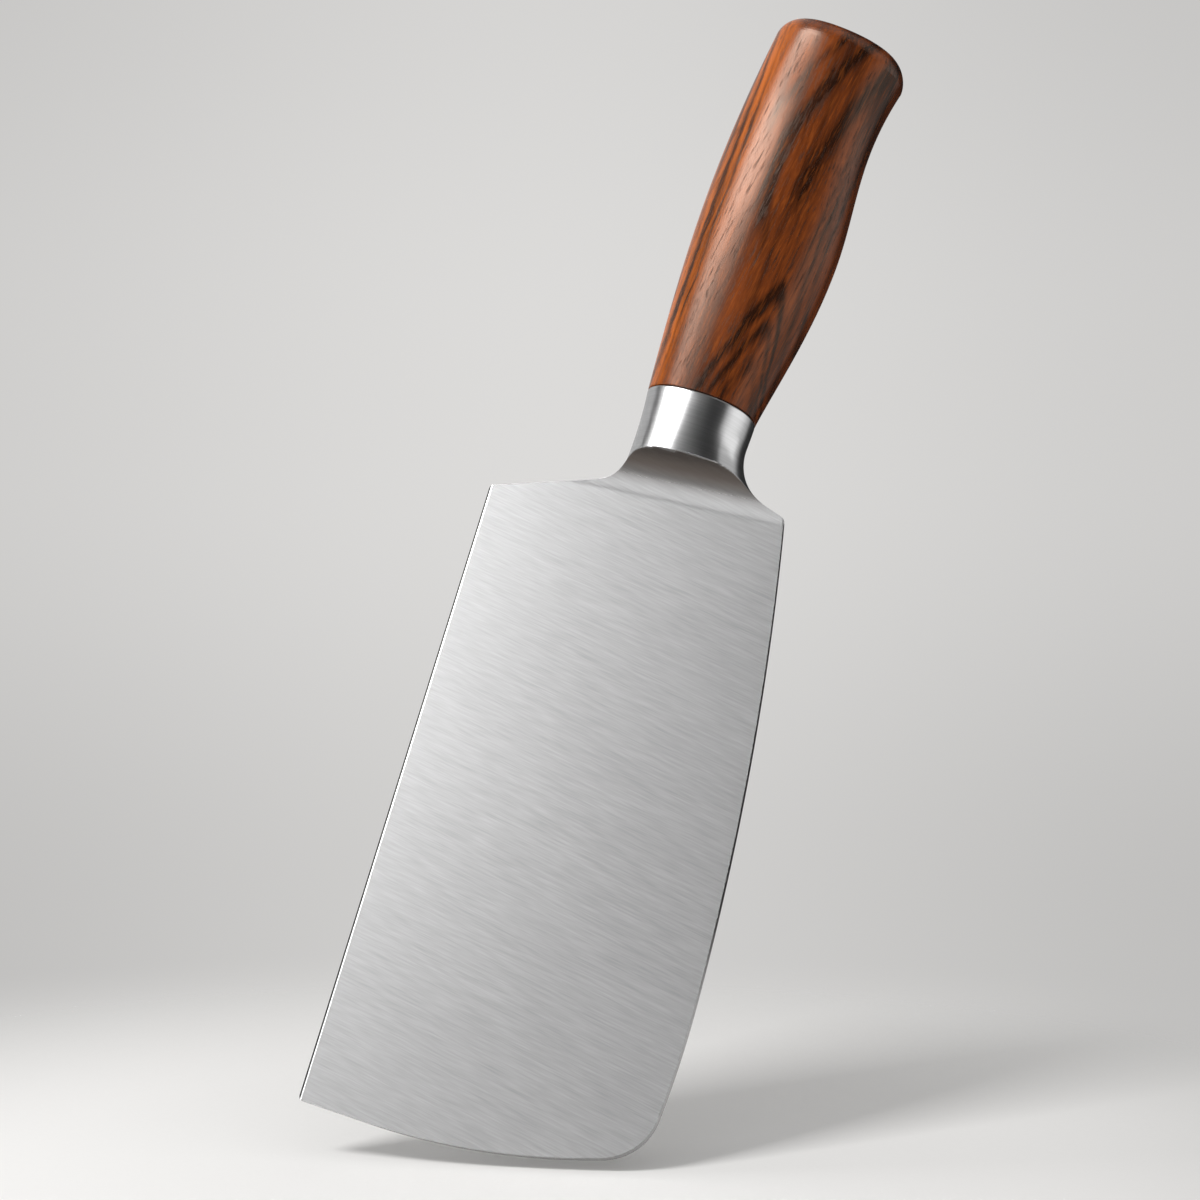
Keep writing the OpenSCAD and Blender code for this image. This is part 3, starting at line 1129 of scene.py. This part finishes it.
@dataclass
class Piece:
    """One piece of the knife, on its way from a mesh in the making into the scene."""

    plan: KnifePlan
    name: str
    node: str
    slot: Slot
    finish: bpy.types.Material

    def set_down(self, bm: bmesh.types.BMesh) -> bpy.types.Object:
        """Brings a mesh to metres and to its place, and lets it stand for its solid.

        Args:
            bm: The mesh in millimetres round the handle's axis. It is freed.

        Returns:
            The piece.
        """
        bmesh.ops.translate(bm, verts=bm.verts[:], vec=(self.plan.knife_x, 0.0, 0.0))
        bmesh.ops.scale(bm, verts=bm.verts[:], vec=(MM, MM, MM))
        bmesh.ops.recalc_face_normals(bm, faces=bm.faces[:])
        made = finished(self.name, bm, self.finish)
        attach(made, "root")
        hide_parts(self.node)
        LOG.info("%s: %d faces, for %s", self.name, len(made.data.polygons), self.node)
        return made


# Pieces


@dataclass
class Blade:
    """The wide brushed plate with its eased rim, its sharpened edge and its tenon."""

    plan: KnifePlan
    rim_ease: float = 0.3
    rim_start: float = 3.0
    rim_steps: int = 3
    rim_tilt: float = 0.5
    score_gap: float = 0.01
    score_slack: float = 0.001
    corner_steps: int = 8
    spine_steps: int = 60
    arc_steps: int = 40

    def build(self) -> bpy.types.Object:
        """Builds and dresses the blade.

        Returns:
            The blade.
        """
        bm = bmesh.new()
        self._outline(bm)
        self._score(bm)
        self._thicken(bm)
        self._ease_rim(bm)
        finish = BrushedSteel(self.plan).material()
        return Piece(self.plan, "blade_plate", "blade", Slot.BLADE, finish).set_down(bm)

    def _outline(self, bm: bmesh.types.BMesh) -> None:
        """Draws the outline, from the middle of the nose round by the edge and back down the spine.

        Args:
            bm: The empty mesh.
        """
        p = self.plan
        pen = Pen(bm, p.nose_c - Vector((0.0, p.nose_r)))
        pen.round_corner(p.edge_nose, p.edge_heel, p.edge_corner_r, self.corner_steps)
        foot = Vector((-p.edge_side.foot[0], p.edge_side.foot[1]))
        pen.round_corner(p.edge_heel, foot, p.edge_corner_r, self.corner_steps)
        slope = (foot - p.edge_heel).normalized()
        pen.line_to(p.edge_heel + slope * ((p.weld_along - p.edge_l) / slope.dot(p.edge_dir)))
        half = p.tenon_w / 2
        pen.line_to(Vector((-half, p.height_at(p.weld_along, -half))))
        pen.line_to(Vector((-half, p.tang_z)))
        pen.line_to(Vector((half, p.tang_z)))
        pen.line_to(Vector((half, p.height_at(p.weld_along, half))))
        heel = Vector(p.spine_heel)
        shoulder = Vector((-math.cos(p.spine_side.slope), math.sin(p.spine_side.slope)))
        rise = p.weld_along - p.along_edge(heel.x, heel.y)
        pen.line_to(heel + shoulder * (rise / shoulder.dot(p.edge_dir)))
        radial = heel - p.spine_c
        down = heel + Vector((radial.y, -radial.x))
        pen.round_corner(heel, down, p.spine_corner_r, self.corner_steps)
        pen.arc_to(p.spine_c, p.lead_top, self.spine_steps)
        pen.arc_to(p.lead_c, p.corner_c, self.arc_steps)
        pen.arc_to(p.corner_c, p.corner_c + (p.corner_c - p.nose_c), self.arc_steps)
        pen.arc_to(p.nose_c, p.nose_c - Vector((0.0, p.nose_r)), self.arc_steps)
        pen.close()

    def _score(self, bm: bmesh.types.BMesh) -> None:
        """Cuts the face along the sharpened edge and where the ledge under the bolster begins.

        Args:
            bm: The flat outline.
        """
        p = self.plan
        across, along = p.across_dir, p.edge_dir
        self._cut(bm, p.edge_nose + across * p.bevel_w, across)
        for gap in (0.0, self.score_gap):
            self._cut(bm, p.edge_nose + along * (p.scoop_along + gap), along)

    def _cut(self, bm: bmesh.types.BMesh, point: Vector, normal: Vector) -> None:
        """Cuts all faces along one line.

        Args:
            bm: The flat outline.
            point: A point of the line.
            normal: Direction square to the line.
        """
        bmesh.ops.bisect_plane(
            bm,
            geom=bm.verts[:] + bm.edges[:] + bm.faces[:],
            dist=MERGE_MM,
            plane_co=(point.x, 0.0, point.y),
            plane_no=(normal.x, 0.0, normal.y),
        )

    def _half_thickness(self, x: float, z: float) -> float:
        """Half thickness of the finished plate at a point.

        Args:
            x: Distance from the handle's axis.
            z: Height of the point.

        Returns:
            Half of the thickness there.
        """
        p = self.plan
        out = p.from_edge(x, z)
        if out < p.bevel_w - self.score_slack:
            return p.apex_t / 2 + (p.edge_t - p.apex_t) / 2 * max(out, 0.0) / p.bevel_w
        ledge = p.ledge_depth if p.along_edge(x, z) > p.scoop_along + self.score_gap / 2 else 0.0
        return p.flat_y(x, z) - ledge

    def _thicken(self, bm: bmesh.types.BMesh) -> None:
        """Gives the plate its thickness, with a straight taper from the spine to the edge.

        Args:
            bm: The flat outline.
        """
        made = bmesh.ops.extrude_face_region(bm, geom=bm.faces[:])["geom"]
        back = {part for part in made if isinstance(part, bmesh.types.BMVert)}
        for vert in bm.verts:
            side = 1.0 if vert in back else -1.0
            vert.co.y = side * self._half_thickness(vert.co.x, vert.co.z)
        bmesh.ops.recalc_face_normals(bm, faces=bm.faces[:])
        for face in bm.faces:
            face.smooth = abs(face.normal.y) < self.rim_tilt

    def _ease_rim(self, bm: bmesh.types.BMesh) -> None:
        """Rounds the long edges of the rim, away from the sharpened edge and from the bolster.

        Args:
            bm: The plate.
        """
        p = self.plan
        rim = []
        for edge in bm.edges:
            kinds = {face.smooth for face in edge.link_faces}
            ends = [(v.co.x, v.co.z) for v in edge.verts]
            clear = all(p.from_edge(*end) > self.rim_start for end in ends)
            bare = all(p.along_edge(*end) < p.scoop_along for end in ends)
            if kinds == {True, False} and clear and bare:
                rim.append(edge)
        made = bmesh.ops.bevel(
            bm,
            geom=rim,
            offset=self.rim_ease,
            offset_type="OFFSET",
            segments=self.rim_steps,
            profile=0.5,
            affect="EDGES",
            material=-1,
            clamp_overlap=True,
        )
        for face in made["faces"]:
            face.smooth = True


@dataclass
class Bolster:
    """The oval collar between blade and wood, with a round scoop in each face."""

    plan: KnifePlan
    depth: float = 21.6
    scoop_r: float = 10.0
    power: float = 2.15
    rim_r: float = 0.5
    bore_r: float = 3.55
    arch_ease: float = 0.3
    corner_ease: float = 0.7
    points: int = 288
    rows: int = 120
    rim_steps: int = 6
    settle_steps: int = 8

    def build(self) -> bpy.types.Object:
        """Builds and dresses the bolster.

        Returns:
            The bolster.
        """
        p = self.plan
        bm = bmesh.new()
        sleeve = Sleeve(bm, self.points, lambda a: self._place(a, 0.0))
        sleeve.crease()
        for row in range(1, self.rows + 1):
            sleeve.grow(lambda a, t=row / self.rows: self._place(a, t))
        sleeve.round_over(self.rim_r, self.rim_steps, self._rim)
        sleeve.crease()
        sleeve.grow(lambda a: flat_circle(a, self.bore_r, p.seam_z))
        sleeve.crease()
        sleeve.grow(lambda a: flat_circle(a, self.bore_r, p.tang_z))
        sleeve.crease()
        sleeve.cap()
        for face in bm.faces:
            face.smooth = len(face.verts) == 4
        self._mark_collar(bm)
        finish = CollarSteel(BrushedSteel(p)).material()
        return Piece(p, "bolster_collar", "bolster", Slot.BOLSTER, finish).set_down(bm)

    def _collar_reach(self, side: Hollow, z: float) -> float:
        """Half width of the collar above the hollow."""
        rise = (z - side.top) / (self.plan.seam_z - side.top)
        return flare(side.waist, self.plan.seam_half_w, rise)

    def _reach(self, side: Hollow, z: float) -> float:
        """Half width of the steel at a height, on one side.

        Args:
            side: The hollow on that side.
            z: The height.

        Returns:
            Distance from the handle's axis to the steel's outline.
        """
        if z >= side.top:
            return self._collar_reach(side, z)
        if z >= side.foot[1]:
            return side.waist + side.radius - math.sqrt(side.radius**2 - (side.top - z) ** 2)
        reach = side.foot[0] + (side.foot[1] - z) / math.tan(side.slope)
        if side is self.plan.spine_side:
            arc = self.plan.spine_c.x + math.sqrt(self.plan.spine_r**2 - (z - self.plan.spine_c.y) ** 2)
            return soft_min(reach, arc, self.corner_ease)
        return reach

    def _scoop_y(self, x: float, z: float) -> float:
        """How far the scoop leaves the face of the bolster from the middle at a point.

        Args:
            x: Distance from the handle's axis.
            z: Height of the point.

        Returns:
            Half thickness of the steel in the scoop, or the full depth above it, where nothing is scooped.
        """
        p = self.plan
        rise = p.along_edge(x, z) - p.scoop_along
        if rise >= self.scoop_r:
            return self.depth
        return p.flat_y(x, z) + self.scoop_r - math.sqrt(self.scoop_r**2 - max(rise, 0.0) ** 2)

    def _place(self, angle: float, t: float) -> Vector:
        """A point of the bolster's side, of which the height and the oval are settled in turns.

        Args:
            angle: Angle round the oval.
            t: Rise from the scoop's foot, 0, to the start of the rounded rim, 1.

        Returns:
            The point.
        """
        p = self.plan
        top = p.seam_z - self.rim_r
        z = p.scoop_z + (top - p.scoop_z) * t
        x = y = 0.0
        for _ in range(self.settle_steps):
            edge, spine = self._reach(p.edge_side, z), self._reach(p.spine_side, z)
            x, y = oval(angle, edge, spine, self.depth / 2, self.power)
            low = p.height_at(p.scoop_along, x)
            z = low + (top - low) * t
        scooped = soft_min(abs(y), self._scoop_y(x, z), self.arch_ease)
        return Vector((x, math.copysign(scooped, y), z))

    def _rim(self, angle: float, inset: float, rise: float) -> Vector:
        """A point of the rounded rim under the wood.

        Args:
            angle: Angle round the oval.
            inset: How far it is drawn in.
            rise: How far it lies above the start of the rounding.

        Returns:
            The point.
        """
        p = self.plan
        z = p.seam_z - self.rim_r + rise
        edge, spine = self._reach(p.edge_side, z) - inset, self._reach(p.spine_side, z) - inset
        x, y = oval(angle, edge, spine, self.depth / 2 - inset, self.power)
        return Vector((x, y, z))

    def _mark_collar(self, bm: bmesh.types.BMesh) -> None:
        """Marks each point with its share of the collar and with its rise in the scoop, both from 0 to 1.

        Args:
            bm: The bolster.
        """
        p = self.plan
        layer = bm.verts.layers.float_vector.new(STEEL_MARKS)
        for vert in bm.verts:
            over = self._scoop_y(vert.co.x, vert.co.z) - abs(vert.co.y)
            collar = min(max(over / self.arch_ease, 0.0), 1.0)
            # This rise also masks the painted shade that the finish puts in the scoops.
            rise = (p.along_edge(vert.co.x, vert.co.z) - p.scoop_along) / self.scoop_r
            vert[layer] = Vector((collar, min(max(rise, 0.0), 1.0), 0.0))


@dataclass
class Handle:
    """The rosewood grip: a belly on the cutting edge's side, a palm swell, a waist and a sloping butt."""

    plan: KnifePlan
    length: float = 101.5
    palm_reach: float = 18.3
    palm_h: float = 43.5
    swell_power: float = 1.15
    waist_reach: float = 16.2
    waist_h: float = 76.0
    flare_reach: float = 18.1
    belly_reach: float = 17.4
    belly_h: float = 60.0
    butt_reach: float = 15.6
    seam_depth: float = 21.6
    palm_depth: float = 26.0
    waist_depth: float = 24.0
    butt_depth: float = 25.6
    butt_slope: float = 5.8
    butt_r: float = 6.5
    butt_crown: float = 1.2
    power: float = 2.15
    slope_power: int = 4
    bore_r: float = 4.6
    bore_l: float = 60.0
    foot_ease: float = 0.15
    foot_corner: float = 0.3
    points: int = 192
    rows: int = 160
    butt_steps: int = 16
    crown_steps: int = 12

    @property
    def flare_h(self) -> float:
        """Height at which the butt's rounding begins."""
        return self.length - self.butt_r

    def build(self) -> bpy.types.Object:
        """Builds and dresses the handle.

        Returns:
            The handle.
        """
        p = self.plan
        bm = bmesh.new()
        sleeve = Sleeve(bm, self.points, lambda a: flat_circle(a, self.bore_r, p.seam_z + self.bore_l))
        sleeve.crease()
        sleeve.grow(lambda a: flat_circle(a, self.bore_r, p.wood_z))
        sleeve.crease()
        low, corner = self.foot_ease, self.foot_ease * self.foot_corner
        sleeve.grow(lambda a: self._place(a, 0.0, low))
        sleeve.grow(lambda a: self._place(a, corner, corner))
        for row in range(self.rows + 1):
            sleeve.grow(lambda a, h=low + (self.flare_h - low) * row / self.rows: self._place(a, h, 0.0))
        sleeve.round_over(self.butt_r, self.butt_steps, self._butt)
        for step in range(1, self.crown_steps):
            sleeve.grow(lambda a, s=1 - step / self.crown_steps: self._crown(a, s))
        sleeve.point(Vector((0.0, 0.0, p.wood_z + self.length + self.butt_crown)))
        for face in bm.faces:
            face.smooth = len(face.verts) < 5
        finish = Rosewood(p).material()
        return Piece(p, "handle_grip", "handle", Slot.WOOD, finish).set_down(bm)

    def _spine_half(self, h: float) -> float:
        """Distance from the axis to the wood on the spine's side.

        Args:
            h: Height above the bolster.

        Returns:
            The distance at that height.
        """
        if h < self.palm_h:
            return swell(self.plan.seam_half_w, self.palm_reach, h / self.palm_h, self.swell_power)
        if h < self.waist_h:
            rise = (h - self.palm_h) / (self.waist_h - self.palm_h)
            return wave(self.palm_reach, self.waist_reach, rise)
        rise = (h - self.waist_h) / (self.flare_h - self.waist_h)
        return flare(self.waist_reach, self.flare_reach, rise)

    def _edge_half(self, h: float) -> float:
        """Distance from the axis to the wood on the cutting edge's side.

        Args:
            h: Height above the bolster.

        Returns:
            The distance at that height.
        """
        if h < self.belly_h:
            return swell(self.plan.seam_half_w, self.belly_reach, h / self.belly_h)
        return flare(self.belly_reach, self.butt_reach, (h - self.belly_h) / (self.flare_h - self.belly_h))

    def _depth_half(self, h: float) -> float:
        """Half of the thickness of the wood.

        Args:
            h: Height above the bolster.

        Returns:
            Half of the thickness at that height.
        """
        if h < self.palm_h:
            return swell(self.seam_depth, self.palm_depth, h / self.palm_h) / 2
        if h < self.waist_h:
            rise = (h - self.palm_h) / (self.waist_h - self.palm_h)
            return wave(self.palm_depth, self.waist_depth, rise) / 2
        rise = (h - self.waist_h) / (self.flare_h - self.waist_h)
        return wave(self.waist_depth, self.butt_depth, rise) / 2

    def _place(self, angle: float, h: float, inset: float) -> Vector:
        """A point of the side.

        Args:
            angle: Angle round the oval.
            h: Height above the bolster, on the axis.
            inset: How far the point is drawn in.

        Returns:
            The point.
        """
        edge, spine, depth = self._edge_half(h), self._spine_half(h), self._depth_half(h)
        x, y = oval(angle, edge - inset, spine - inset, depth - inset, self.power)
        slope = math.radians(self.butt_slope) * min(h / self.flare_h, 1.0) ** self.slope_power
        return Vector((x, y, self.plan.wood_z + h - x * math.tan(slope)))

    def _butt(self, angle: float, inset: float, rise: float) -> Vector:
        """A point of the butt's rounding.

        Args:
            angle: Angle round the oval.
            inset: How far the point is drawn in.
            rise: How far it lies above the start of the rounding.

        Returns:
            The point.
        """
        edge, spine, depth = self.butt_reach, self.flare_reach, self.butt_depth / 2
        x, y = oval(angle, edge - inset, spine - inset, depth - inset, self.power)
        slope = math.tan(math.radians(self.butt_slope))
        return Vector((x, y, self.plan.wood_z + self.flare_h + rise - x * slope))

    def _crown(self, angle: float, share: float) -> Vector:
        """A point of the crowned end face.

        Args:
            angle: Angle round the oval.
            share: How far it lies from the middle of the face to its rim, from 0 to 1.

        Returns:
            The point.
        """
        rim = self._butt(angle, self.butt_r, self.butt_r)
        slope = math.tan(math.radians(self.butt_slope))
        rise = self.butt_crown * (1 - share * share)
        x = rim.x * share
        return Vector((x, rim.y * share, self.plan.wood_z + self.length + rise - x * slope))


@dataclass
class HiddenParts:
    """The tang and the adhesive, which keep their solids and get their finish."""

    frame: Mapping[str, Any]

    def dress(self) -> None:
        """Gives both their materials."""
        for node, finish in (("tang", TurnedSteel()), ("adhesive", CuredEpoxy())):
            part = self.frame["nodes"][node]
            part.data.materials.clear()
            part.data.materials.append(finish.material())
            LOG.info("%s: keeps its solid, with %s", node, finish.name)


# Studio


@dataclass(frozen=True)
class Card:
    """One soft card of the studio, light or dark, which only reflections see.

    Angles are in degrees as seen from the knife: azimuth 0 is the camera and 90 its right, and rise is
    above it. Azimuth and rise hold the card's two ends, and softness says how far it fades to each side of
    them.
    """

    azimuth: Pair
    rise: Pair
    softness: Pair
    level: float

    def light(self, bench: Bench, azimuth: Val, rise: Val) -> Val:
        """The brightness that the card adds in a direction.

        Args:
            bench: The world's bench.
            azimuth: The direction's azimuth.
            rise: The direction's rise.

        Returns:
            The brightness, below 0 for a dark card.
        """
        wide = self._within(bench, azimuth, self.azimuth, self.softness[0])
        high = self._within(bench, rise, self.rise, self.softness[1])
        return wide * high * self.level

    def _within(self, bench: Bench, angle: Val, span: Pair, soft: float) -> Val:
        """1 inside the span and 0 outside it, with soft ends."""
        middle, half = (span[0] + span[1]) / 2, (span[1] - span[0]) / 2
        return bench.step((angle - middle).math("ABSOLUTE"), half + soft, half - soft)


@dataclass(frozen=True)
class Backdrop:
    """The pale wall behind the knife, a little darker low down, high up and to the sides.

    Each span holds where the wall starts to darken and where it has lost all that it loses, as parts of a
    direction's length.
    """

    level: float = 0.715
    low_span: Pair = (-0.07, 0.03)
    low_loss: float = 0.09
    high_span: Pair = (0.06, 0.15)
    high_loss: float = 0.05
    middle: float = -0.01
    side_span: Pair = (0.0, 0.16)
    side_loss: float = 0.10

    def light(self, bench: Bench, aside: Val, above: Val) -> Val:
        """The brightness of the wall in a direction.

        Args:
            bench: The world's bench.
            aside: How far the direction points to the right.
            above: How far it points up.

        Returns:
            The brightness.
        """
        low = bench.step(above, self.low_span[1], self.low_span[0])
        high = bench.step(above, *self.high_span)
        side = (aside - self.middle).math("ABSOLUTE").between(*self.side_span)
        return self.level - low * self.low_loss - high * self.high_loss - side * self.side_loss


@dataclass(frozen=True)
class Lamp:
    """One soft lamp, which reflections don't see.

    Its way from the knife is given as the camera sees it: to the right, up and towards the camera. Its
    power is in watts, and its size and its distance are in metres.
    """

    name: str
    way: Triple
    away: float
    size: Pair
    power: float


@dataclass
class Studio:
    """The camera, the floor, the lamps and the world.

    Places are in metres in the model's frame. Right, up and back are the camera's own directions.
    """

    camera_at: Triple = (0.232478, -0.975056, -0.170301)
    right: Triple = (0.93052115, 0.12409706, 0.34457264)
    up: Triple = (-0.28397619, -0.34965039, 0.89280576)
    back: Triple = (0.23127453, -0.92862507, -0.29011647)
    lens: float = 134.637
    sensor: float = 36.0
    clip: Pair = (0.05, 20.0)
    floor_tilt: float = math.radians(6.0)
    floor_at: Triple = (0.0165, 0.0, 0.0)
    floor_r: float = 0.34
    floor_points: int = 128
    floor_fade: Pair = (0.11, 0.28)
    speckle: float = 900.0
    paper: tuple[Colour, Colour] = ((0.83, 0.82, 0.805, 1.0), (0.85, 0.84, 0.825, 1.0))
    wall: Colour = (1.0, 0.988, 0.972, 1.0)
    backdrop: Backdrop = Backdrop()
    cards: tuple[Card, ...] = (
        Card((-80.0, -35.2), (50.0, 68.0), (1.0, 2.1), 9.00),
        Card((-84.0, -24.3), (37.3, 74.0), (1.0, 1.0), 2.90),
        Card((-84.0, -32.0), (36.5, 80.0), (19.1, 1.7), 0.63),
        Card((-80.0, 0.4), (-20.1, 30.7), (3.1, 3.0), 0.61),
        Card((-40.0, 40.0), (-70.0, 23.7), (3.9, 20.0), -0.30),
        Card((43.9, 103.0), (-0.5, 23.0), (5.2, 3.3), 0.59),
        Card((-24.0, 56.2), (17.6, 80.0), (3.0, 21.0), -0.60),
        Card((-114.2, -99.3), (-59.6, 40.0), (3.0, 3.6), -0.50),
        Card((-80.0, -52.0), (36.0, 52.0), (5.0, 3.0), 4.50),
        Card((-17.5, -6.0), (12.0, 36.5), (3.5, 3.5), 0.42),
        Card((-36.0, -24.5), (20.0, 36.0), (3.0, 3.0), -0.12),
        Card((118.0, 178.0), (-45.0, 55.0), (12.0, 15.0), -0.56),
    )
    plain: float = 0.552
    darkest: float = 0.02
    ambient: float = 0.5
    lamps: tuple[Lamp, ...] = (
        Lamp("key_lamp", (-0.62, 0.696165, 0.52317), 1.1, (0.38, 0.30), 7.5),
        Lamp("side_lamp", (-1.0, 0.1, 0.0), 0.9, (0.3, 0.5), 3.0),
    )
    lamps_round: Triple = (0.0, 0.0, 0.1)

    def build(self) -> None:
        """Builds the whole studio."""
        self._camera()
        self._floor()
        self._world()
        for lamp in self.lamps:
            self._hang(lamp)
        bpy.context.scene.view_settings.view_transform = "Standard"
        LOG.info("studio: camera, floor, world and %d lamps", len(self.lamps))

    @property
    def view(self) -> Matrix:
        """Turns a direction as the camera sees it into the model's frame."""
        return Matrix((self.right, self.up, self.back)).transposed()

    @property
    def floor_normal(self) -> Vector:
        """Upward direction of the floor, which the camera looks down on a little."""
        return self.view @ Vector((0.0, math.cos(self.floor_tilt), math.sin(self.floor_tilt)))

    def _camera(self) -> None:
        """Puts the camera where the photograph was taken from."""
        data = bpy.data.cameras.new("camera")
        data.lens = self.lens
        data.sensor_width = self.sensor
        data.clip_start, data.clip_end = self.clip
        made = bpy.data.objects.new("camera", data)
        made.matrix_world = Matrix.Translation(self.camera_at) @ self.view.to_4x4()
        bpy.context.scene.collection.objects.link(made)
        bpy.context.scene.camera = made

    def _floor(self) -> None:
        """Lays a round pale floor under the nose, which fades out into the backdrop."""
        bm = bmesh.new()
        bmesh.ops.create_circle(bm, segments=self.floor_points, radius=self.floor_r, cap_ends=True)
        turn = Vector((0.0, 0.0, 1.0)).rotation_difference(self.floor_normal).to_matrix()
        bmesh.ops.rotate(bm, verts=bm.verts[:], cent=(0.0, 0.0, 0.0), matrix=turn)
        bmesh.ops.translate(bm, verts=bm.verts[:], vec=self.floor_at)
        made = finished("floor", bm, self._paper())

    def _paper(self) -> bpy.types.Material:
        """Matt pale paper with a soft end, clear from below.

        Returns:
            The material.
        """
        made, bench = new_material("studio_paper")
        place = bench.node("ShaderNodeTexCoord").outputs["Object"]
        away = bench.vector("DISTANCE", place, self.floor_at)
        speckle = bench.noise(bench.vector("MULTIPLY", place, (self.speckle,) * 3))
        paper = bench.node("ShaderNodeBsdfDiffuse", {}, {"Color": bench.mix(speckle, *self.paper)})
        clear = bench.node("ShaderNodeBsdfTransparent")
        under = Val(bench, bench.node("ShaderNodeNewGeometry").outputs["Backfacing"])
        gone = under.math("MAXIMUM", away.between(*self.floor_fade))
        both = bench.node("ShaderNodeMixShader", {}, {0: gone, 1: paper.outputs[0], 2: clear.outputs[0]})
        bench.node("ShaderNodeOutputMaterial", {}, {"Surface": both.outputs[0]})
        return made

    def _world(self) -> None:
        """Sets the backdrop for the camera, the cards for reflections and a plain level for the rest."""
        world = bpy.data.worlds.new("studio")
        world.use_nodes = True
        world.cycles.sampling_method = "NONE"
        bpy.context.scene.world = world
        bench = Bench(world.node_tree)
        sight = bench.node("ShaderNodeTexCoord").outputs["Generated"]
        ways = (self.right, self.up, self.back)
        aside, above, toward = (bench.vector("DOT_PRODUCT", sight, way) for way in ways)
        azimuth = aside.math("ARCTAN2", toward) * math.degrees(1.0)
        rise = above.math("ARCSINE") * math.degrees(1.0)
        path = bench.node("ShaderNodeLightPath").outputs
        glossy = Val(bench, path["Is Glossy Ray"])
        direct = Val(bench, path["Is Camera Ray"]).math("MAXIMUM", path["Is Transmission Ray"])
        level = bench.mixed(glossy, self.ambient, self._cards(bench, azimuth, rise))
        level = bench.mixed(direct, level, self.backdrop.light(bench, aside, above))
        colour = bench.mix(direct, grey(1.0), self.wall)
        light = bench.node("ShaderNodeBackground", {}, {"Color": colour, "Strength": level})
        bench.node("ShaderNodeOutputWorld", {}, {"Surface": light.outputs[0]})

    def _cards(self, bench: Bench, azimuth: Val, rise: Val) -> Val:
        """The brightness of the plain studio with all its cards, of which the dark ones take light away.

        Args:
            bench: The world's bench.
            azimuth: A direction's azimuth.
            rise: The direction's rise.

        Returns:
            The brightness in that direction.
        """
        total: Any = self.plain
        for card in self.cards:
            total = card.light(bench, azimuth, rise) + total
        return total.math("MAXIMUM", self.darkest)

    def _hang(self, lamp: Lamp) -> None:
        """Hangs one lamp, so that it faces the place that the lamps hang round.

        Args:
            lamp: The lamp.
        """
        data = bpy.data.lights.new(lamp.name, "AREA")
        data.shape = "RECTANGLE"
        data.size, data.size_y = lamp.size
        data.energy = lamp.power
        made = bpy.data.objects.new(lamp.name, data)
        way = self.view @ Vector(lamp.way)
        made.location = Vector(self.lamps_round) + way.normalized() * lamp.away
        made.rotation_euler = way.to_track_quat("Z", "Y").to_euler()
        made.visible_camera = False
        made.visible_glossy = False
        bpy.context.scene.collection.objects.link(made)


def main() -> None:
    """Builds the pieces and the studio in order."""
    logging.basicConfig(level=logging.INFO, format="%(message)s")
    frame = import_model()
    plan = KnifePlan()
    Blade(plan).build()
    Bolster(plan).build()
    Handle(plan).build()
    HiddenParts(frame).dress()
    Studio().build()


if __name__ == "__main__":
    main()
